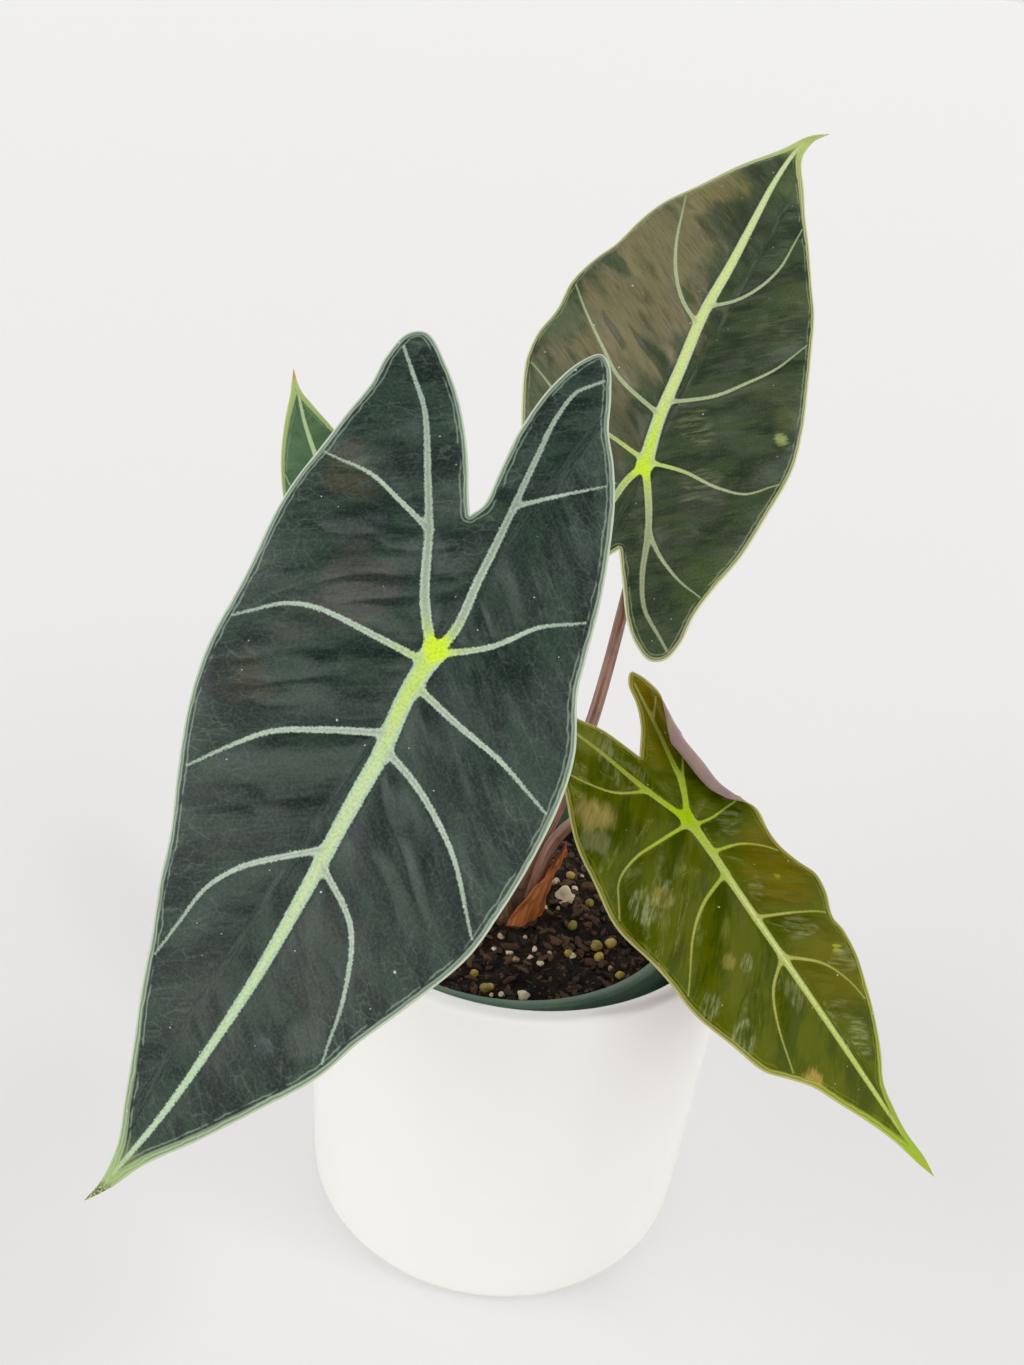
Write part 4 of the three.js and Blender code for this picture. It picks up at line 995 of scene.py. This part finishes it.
def outer_pot_piece():
    pot = OUTER_POT
    height, top, wall, floor = pot.height, pot.top_radius, pot.rim_wall, pot.floor
    foot, fillet, inner = pot.foot_radius, pot.foot_fillet, pot.inner_fillet
    shoulder = height - wall / 2

    def outside(z):
        return foot + (top - foot) * z / height

    def inside(z):
        return outside(z) - wall

    crest = (top - wall / 2, height)
    profile = [(0, 0), (foot * 0.5, 0), (foot - fillet, 0)]
    profile += rounded((foot - fillet, 0), (foot, 0), (outside(fillet), fillet), 8)
    profile += [(outside(z), z) for z in np.linspace(fillet, shoulder, 14)[1:]]
    profile += rounded((outside(shoulder), shoulder), (top, height), crest, 7)
    profile += rounded(crest, (top - wall, height), (inside(shoulder), shoulder), 7)
    profile += [(inside(z), z) for z in np.linspace(shoulder, floor + inner, 12)[1:]]
    profile += rounded((inside(floor + inner), floor + inner), (inside(floor), floor),
                       (inside(floor) - inner, floor), 6)
    profile += [(20, floor), (0, floor)]
    piece = make_object("glazed_pot", *lathe(profile, POT_SIDES), ceramic_material())
    dress(piece, "white_glaze", "outer_pot")


def nursery_radius(z):
    pot = NURSERY_POT
    share = z / (pot.height - pot.collar_height)
    return pot.foot_radius + (pot.shoulder_radius - pot.foot_radius) * share


def nursery_pot_piece():
    pot, material = NURSERY_POT, plastic_material()
    rim, height, foot, wall = pot.rim_radius, pot.height, pot.foot_radius, pot.wall
    shoulder, inner = height - pot.collar_height, rim - pot.lip_width
    profile = [(0, 0), (foot - 1.5, 0)]
    profile += rounded((foot - 1.5, 0), (foot, 0), (foot, 1.5), 3)
    profile += [(nursery_radius(z), z) for z in np.linspace(1.5, shoulder, 10)[1:]]
    profile += [(rim - 0.8, shoulder + 1.2), (rim - 0.7, shoulder + 1.8), (rim, height - 1)]
    profile += rounded((rim, height - 1), (rim, height), (rim - 1, height), 4)
    profile += [(inner + 0.6, height)]
    profile += rounded((inner + 0.6, height), (inner, height), (inner, height - 1.6), 3)
    profile += [(nursery_radius(z) - wall, z) for z in np.linspace(shoulder, pot.floor, 10)]
    profile += [(0, pot.floor)]
    points, faces = lathe([(r, z + pot.z) for r, z in profile], POT_SIDES, (pot.x, 0))
    piece = make_object("nursery_shell", points, faces, material)
    low, high = pot.z - 3, pot.z + 5
    drill = [(0, low), (pot.drain_radius, low), (pot.drain_radius, high), (0, high)]
    for k in range(pot.drain_holes):
        azimuth = 2 * math.pi * k / pot.drain_holes
        place = (pot.x + pot.drain_circle * math.cos(azimuth),
                 pot.drain_circle * math.sin(azimuth))
        hole = make_object("drain_cutter", *lathe(drill, 24, place), material)
        cut = piece.modifiers.new("drain", "BOOLEAN")
        cut.operation, cut.object, cut.solver = "DIFFERENCE", hole, "EXACT"
        bpy.context.view_layer.objects.active = piece
        bpy.ops.object.modifier_apply(modifier=cut.name)
        bpy.data.objects.remove(hole)
    dress(piece, "green_plastic", "nursery_pot")


def soil_height(places):
    """Height of the potting mix over flat places: a gentle dish, clods and crumbs."""
    reach = np.hypot(places[:, 0] - NURSERY_POT.x, places[:, 1]) / SOIL.radius
    dish = 1.2 * np.cos(math.pi * reach) - 0.4
    clods = 1.1 * value_noise(places, 0.16, 1)
    lumps = 0.8 * np.abs(value_noise(places, 0.42, 4))
    crumbs = 0.4 * value_noise(places, 1.2, 7)
    return SOIL.top + dish + clods + lumps + crumbs


def soil_bed_piece():
    pot = NURSERY_POT
    foot = nursery_radius(pot.floor + SOIL.gap) - pot.wall - SOIL.gap
    bottom = pot.z + pot.floor + SOIL.gap
    profile = [(0, bottom), (foot, bottom), (SOIL.radius, 92), (SOIL.radius, 95)]
    profile += [(SOIL.radius * k / SOIL.rings, SOIL.top) for k in range(SOIL.rings, -1, -1)]
    points, faces = lathe(profile, SOIL.sides, (pot.x, 0))
    top = np.flatnonzero(points[:, 2] > SOIL.top - 0.01)
    points[top, 2] = soil_height(points[top, :2])
    dress(make_object("soil_bed", points, faces, soil_material()), "potting_mix", "soil")


def unit_ball(level):
    ball = bmesh.new()
    bmesh.ops.create_icosphere(ball, subdivisions=level, radius=1)
    points = np.array([vertex.co for vertex in ball.verts])
    faces = np.array([[vertex.index for vertex in face.verts] for face in ball.faces])
    ball.free()
    return points, faces


def grains_piece(name, material, places, level, lumpiness, chance, smooth=True):
    """Loose grains as one mesh. Each place is x, y, lift and the three half widths."""
    ball, ball_faces = unit_ball(level)
    points, faces, shades = [], [], []
    ground = soil_height(np.array([place[:2] for place in places]))
    for number, (x, y, lift, *half) in enumerate(places):
        bumps = 1 + lumpiness * value_noise(ball, 1.3, 3 * number + 0.5)
        turn = Matrix.Rotation(chance.uniform(0, math.tau), 3, "Z")
        turn = turn @ Matrix.Rotation(chance.gauss(0, 0.45), 3, "X")
        body = ball * bumps[:, None] * half @ np.array(turn).T
        points.append(body + (x, y, ground[number] + lift))
        faces.append(ball_faces + len(ball) * number)
        shades.append(np.full(len(ball), chance.random()))
    piece = make_object(name, np.vstack(points), np.vstack(faces), material,
                        {"shade": np.concatenate(shades)}, smooth)
    dress(piece, "potting_mix")


def scattered(chance, count):
    """Places on the soil, clear of its edge and of the crown."""
    places = []
    while len(places) < count:
        reach = (SOIL.radius - GRAIN_CLEARANCE) * math.sqrt(chance.random())
        azimuth = chance.uniform(0, math.tau)
        x, y = NURSERY_POT.x + reach * math.cos(azimuth), reach * math.sin(azimuth)
        if math.hypot(x - CROWN.x, y - CROWN.y) > CROWN.radius + GRAIN_CLEARANCE:
            places.append((x, y))
    return places


def soil_grains():
    """Bark chips, perlite and beads of feed: the ones that the picture shows, and more."""
    chance = random.Random(11)
    chips = []
    for x, y in scattered(chance, MORE_CHIPS):
        size = 0.22 + 0.95 * chance.random() ** 3
        chips.append((x, y, size * 0.25, size * chance.uniform(0.9, 2.4), size, size * 0.6))
    bark = grain_material("bark", (18, 11, 6), (86, 58, 36), 0.85, 0.2)
    grains_piece("bark_chips", bark, chips, 2, 0.6, chance, smooth=False)
    white = [(x, y, w * 0.18, w * 0.5, w * 0.45, w * 0.42) for x, y, w in PERLITE]
    for x, y in scattered(chance, MORE_PERLITE):
        size = chance.uniform(0.4, 1.1)
        white.append((x, y, size * 0.3, size, size * 0.85, size * 0.8))
    perlite = grain_material("perlite", (150, 126, 96), (226, 210, 176), 0.8, 0.25)
    grains_piece("perlite", perlite, white, 3, 0.35, chance)
    round_ones = [(x, y, w * 0.2, w * 0.5, w * 0.5, w * 0.5) for x, y, w in BEADS]
    for x, y in scattered(chance, MORE_BEADS):
        size = chance.uniform(1.1, 1.5)
        round_ones.append((x, y, size * 0.3, size, size, size))
    bead = grain_material("fertiliser_bead", (130, 116, 44), (182, 160, 72), 0.45, 0.05)
    grains_piece("feed_beads", bead, round_ones, 3, 0.16, chance)


# Stage


def build_stage():
    """A plain pale floor that runs past the picture's top edge."""
    half = FLOOR_HALF
    points = [(-half, -half, 0), (half, -half, 0), (half, half, 0), (-half, half, 0)]
    paper = Shader("paper").finish(srgb(*FLOOR_COLOUR), 0.9, Emission_Color=(1, 1, 1, 1),
                                   Emission_Strength=FLOOR_GLOW)
    make_object("floor", points, [(0, 1, 2, 3)], paper)


def build_light():
    """A sky of soft light: a bright band all round, a dim zenith and round soft boxes."""
    world = bpy.data.worlds.new("studio")
    bpy.context.scene.world = world
    s = Nodes(world)
    direction = s.node("TexCoord", output="Generated")
    dimmed = s.step(s.split(direction)[2], *BAND.fade) * (BAND.zenith - BAND.strength)
    sky = s.node("Background", {"Color": LIGHT_COLOUR, "Strength": dimmed + BAND.strength})
    total = 0.0
    for place, inner, outer, strength in SOFT_BOXES:
        aim = Vector(place).normalized()
        near = s.node("VectorMath", {0: direction, 1: aim}, "Value", operation="DOT_PRODUCT")
        edge = [math.cos(math.radians(angle)) for angle in (outer, inner)]
        total = s.step(near, *edge) * strength + total
    boxes = s.node("Background", {"Color": BOX_COLOUR, "Strength": total})
    lit = s.node("AddShader", {0: sky, 1: boxes})
    plain = s.node("Background", {"Color": srgb(*BACKDROP_COLOUR), "Strength": 1.0})
    seen = s.node("LightPath", output="Is Camera Ray")
    s.put(s.tree.nodes["World Output"].inputs["Surface"],
          s.node("MixShader", {0: seen, 1: lit, 2: plain}))


def build_camera():
    """The camera's place and lens, found from the ellipses of the pots' rims in the picture."""
    data = bpy.data.cameras.new("camera")
    data.lens, data.sensor_width, data.sensor_fit = CAMERA.lens, CAMERA.sensor, "AUTO"
    data.clip_start, data.clip_end = 0.01, 20
    camera = bpy.data.objects.new("camera", data)
    tilt = Matrix.Rotation(math.radians(CAMERA.tilt), 4, "X")
    turn = Matrix.Rotation(math.radians(CAMERA.turn), 4, "Z")
    camera.matrix_world = Matrix.Translation(Vector(CAMERA.place) * MM) @ tilt @ turn
    bpy.context.scene.collection.objects.link(camera)
    bpy.context.scene.camera = camera


petiole_skin = skin_material("petiole_skin", (114, 76, 62), (160, 120, 98), (86, 54, 46), 0.42)
crown_skin = skin_material("crown_skin", (62, 40, 30), (112, 76, 54), (40, 24, 18), 0.8, 0.3)
sheath_skin = skin_material("sheath_skin", (150, 80, 34), (204, 124, 54), (108, 62, 44), 0.65, 0.15)

outer_pot_piece()
nursery_pot_piece()
soil_bed_piece()
soil_grains()
crown_piece(crown_skin)
sheath_piece(sheath_skin)
for leaf_name in LEAVES:
    petiole_piece(leaf_name, petiole_skin)
    leaf_piece(leaf_name)

build_stage()
build_light()
build_camera()
bpy.context.scene.view_settings.view_transform = "Standard"
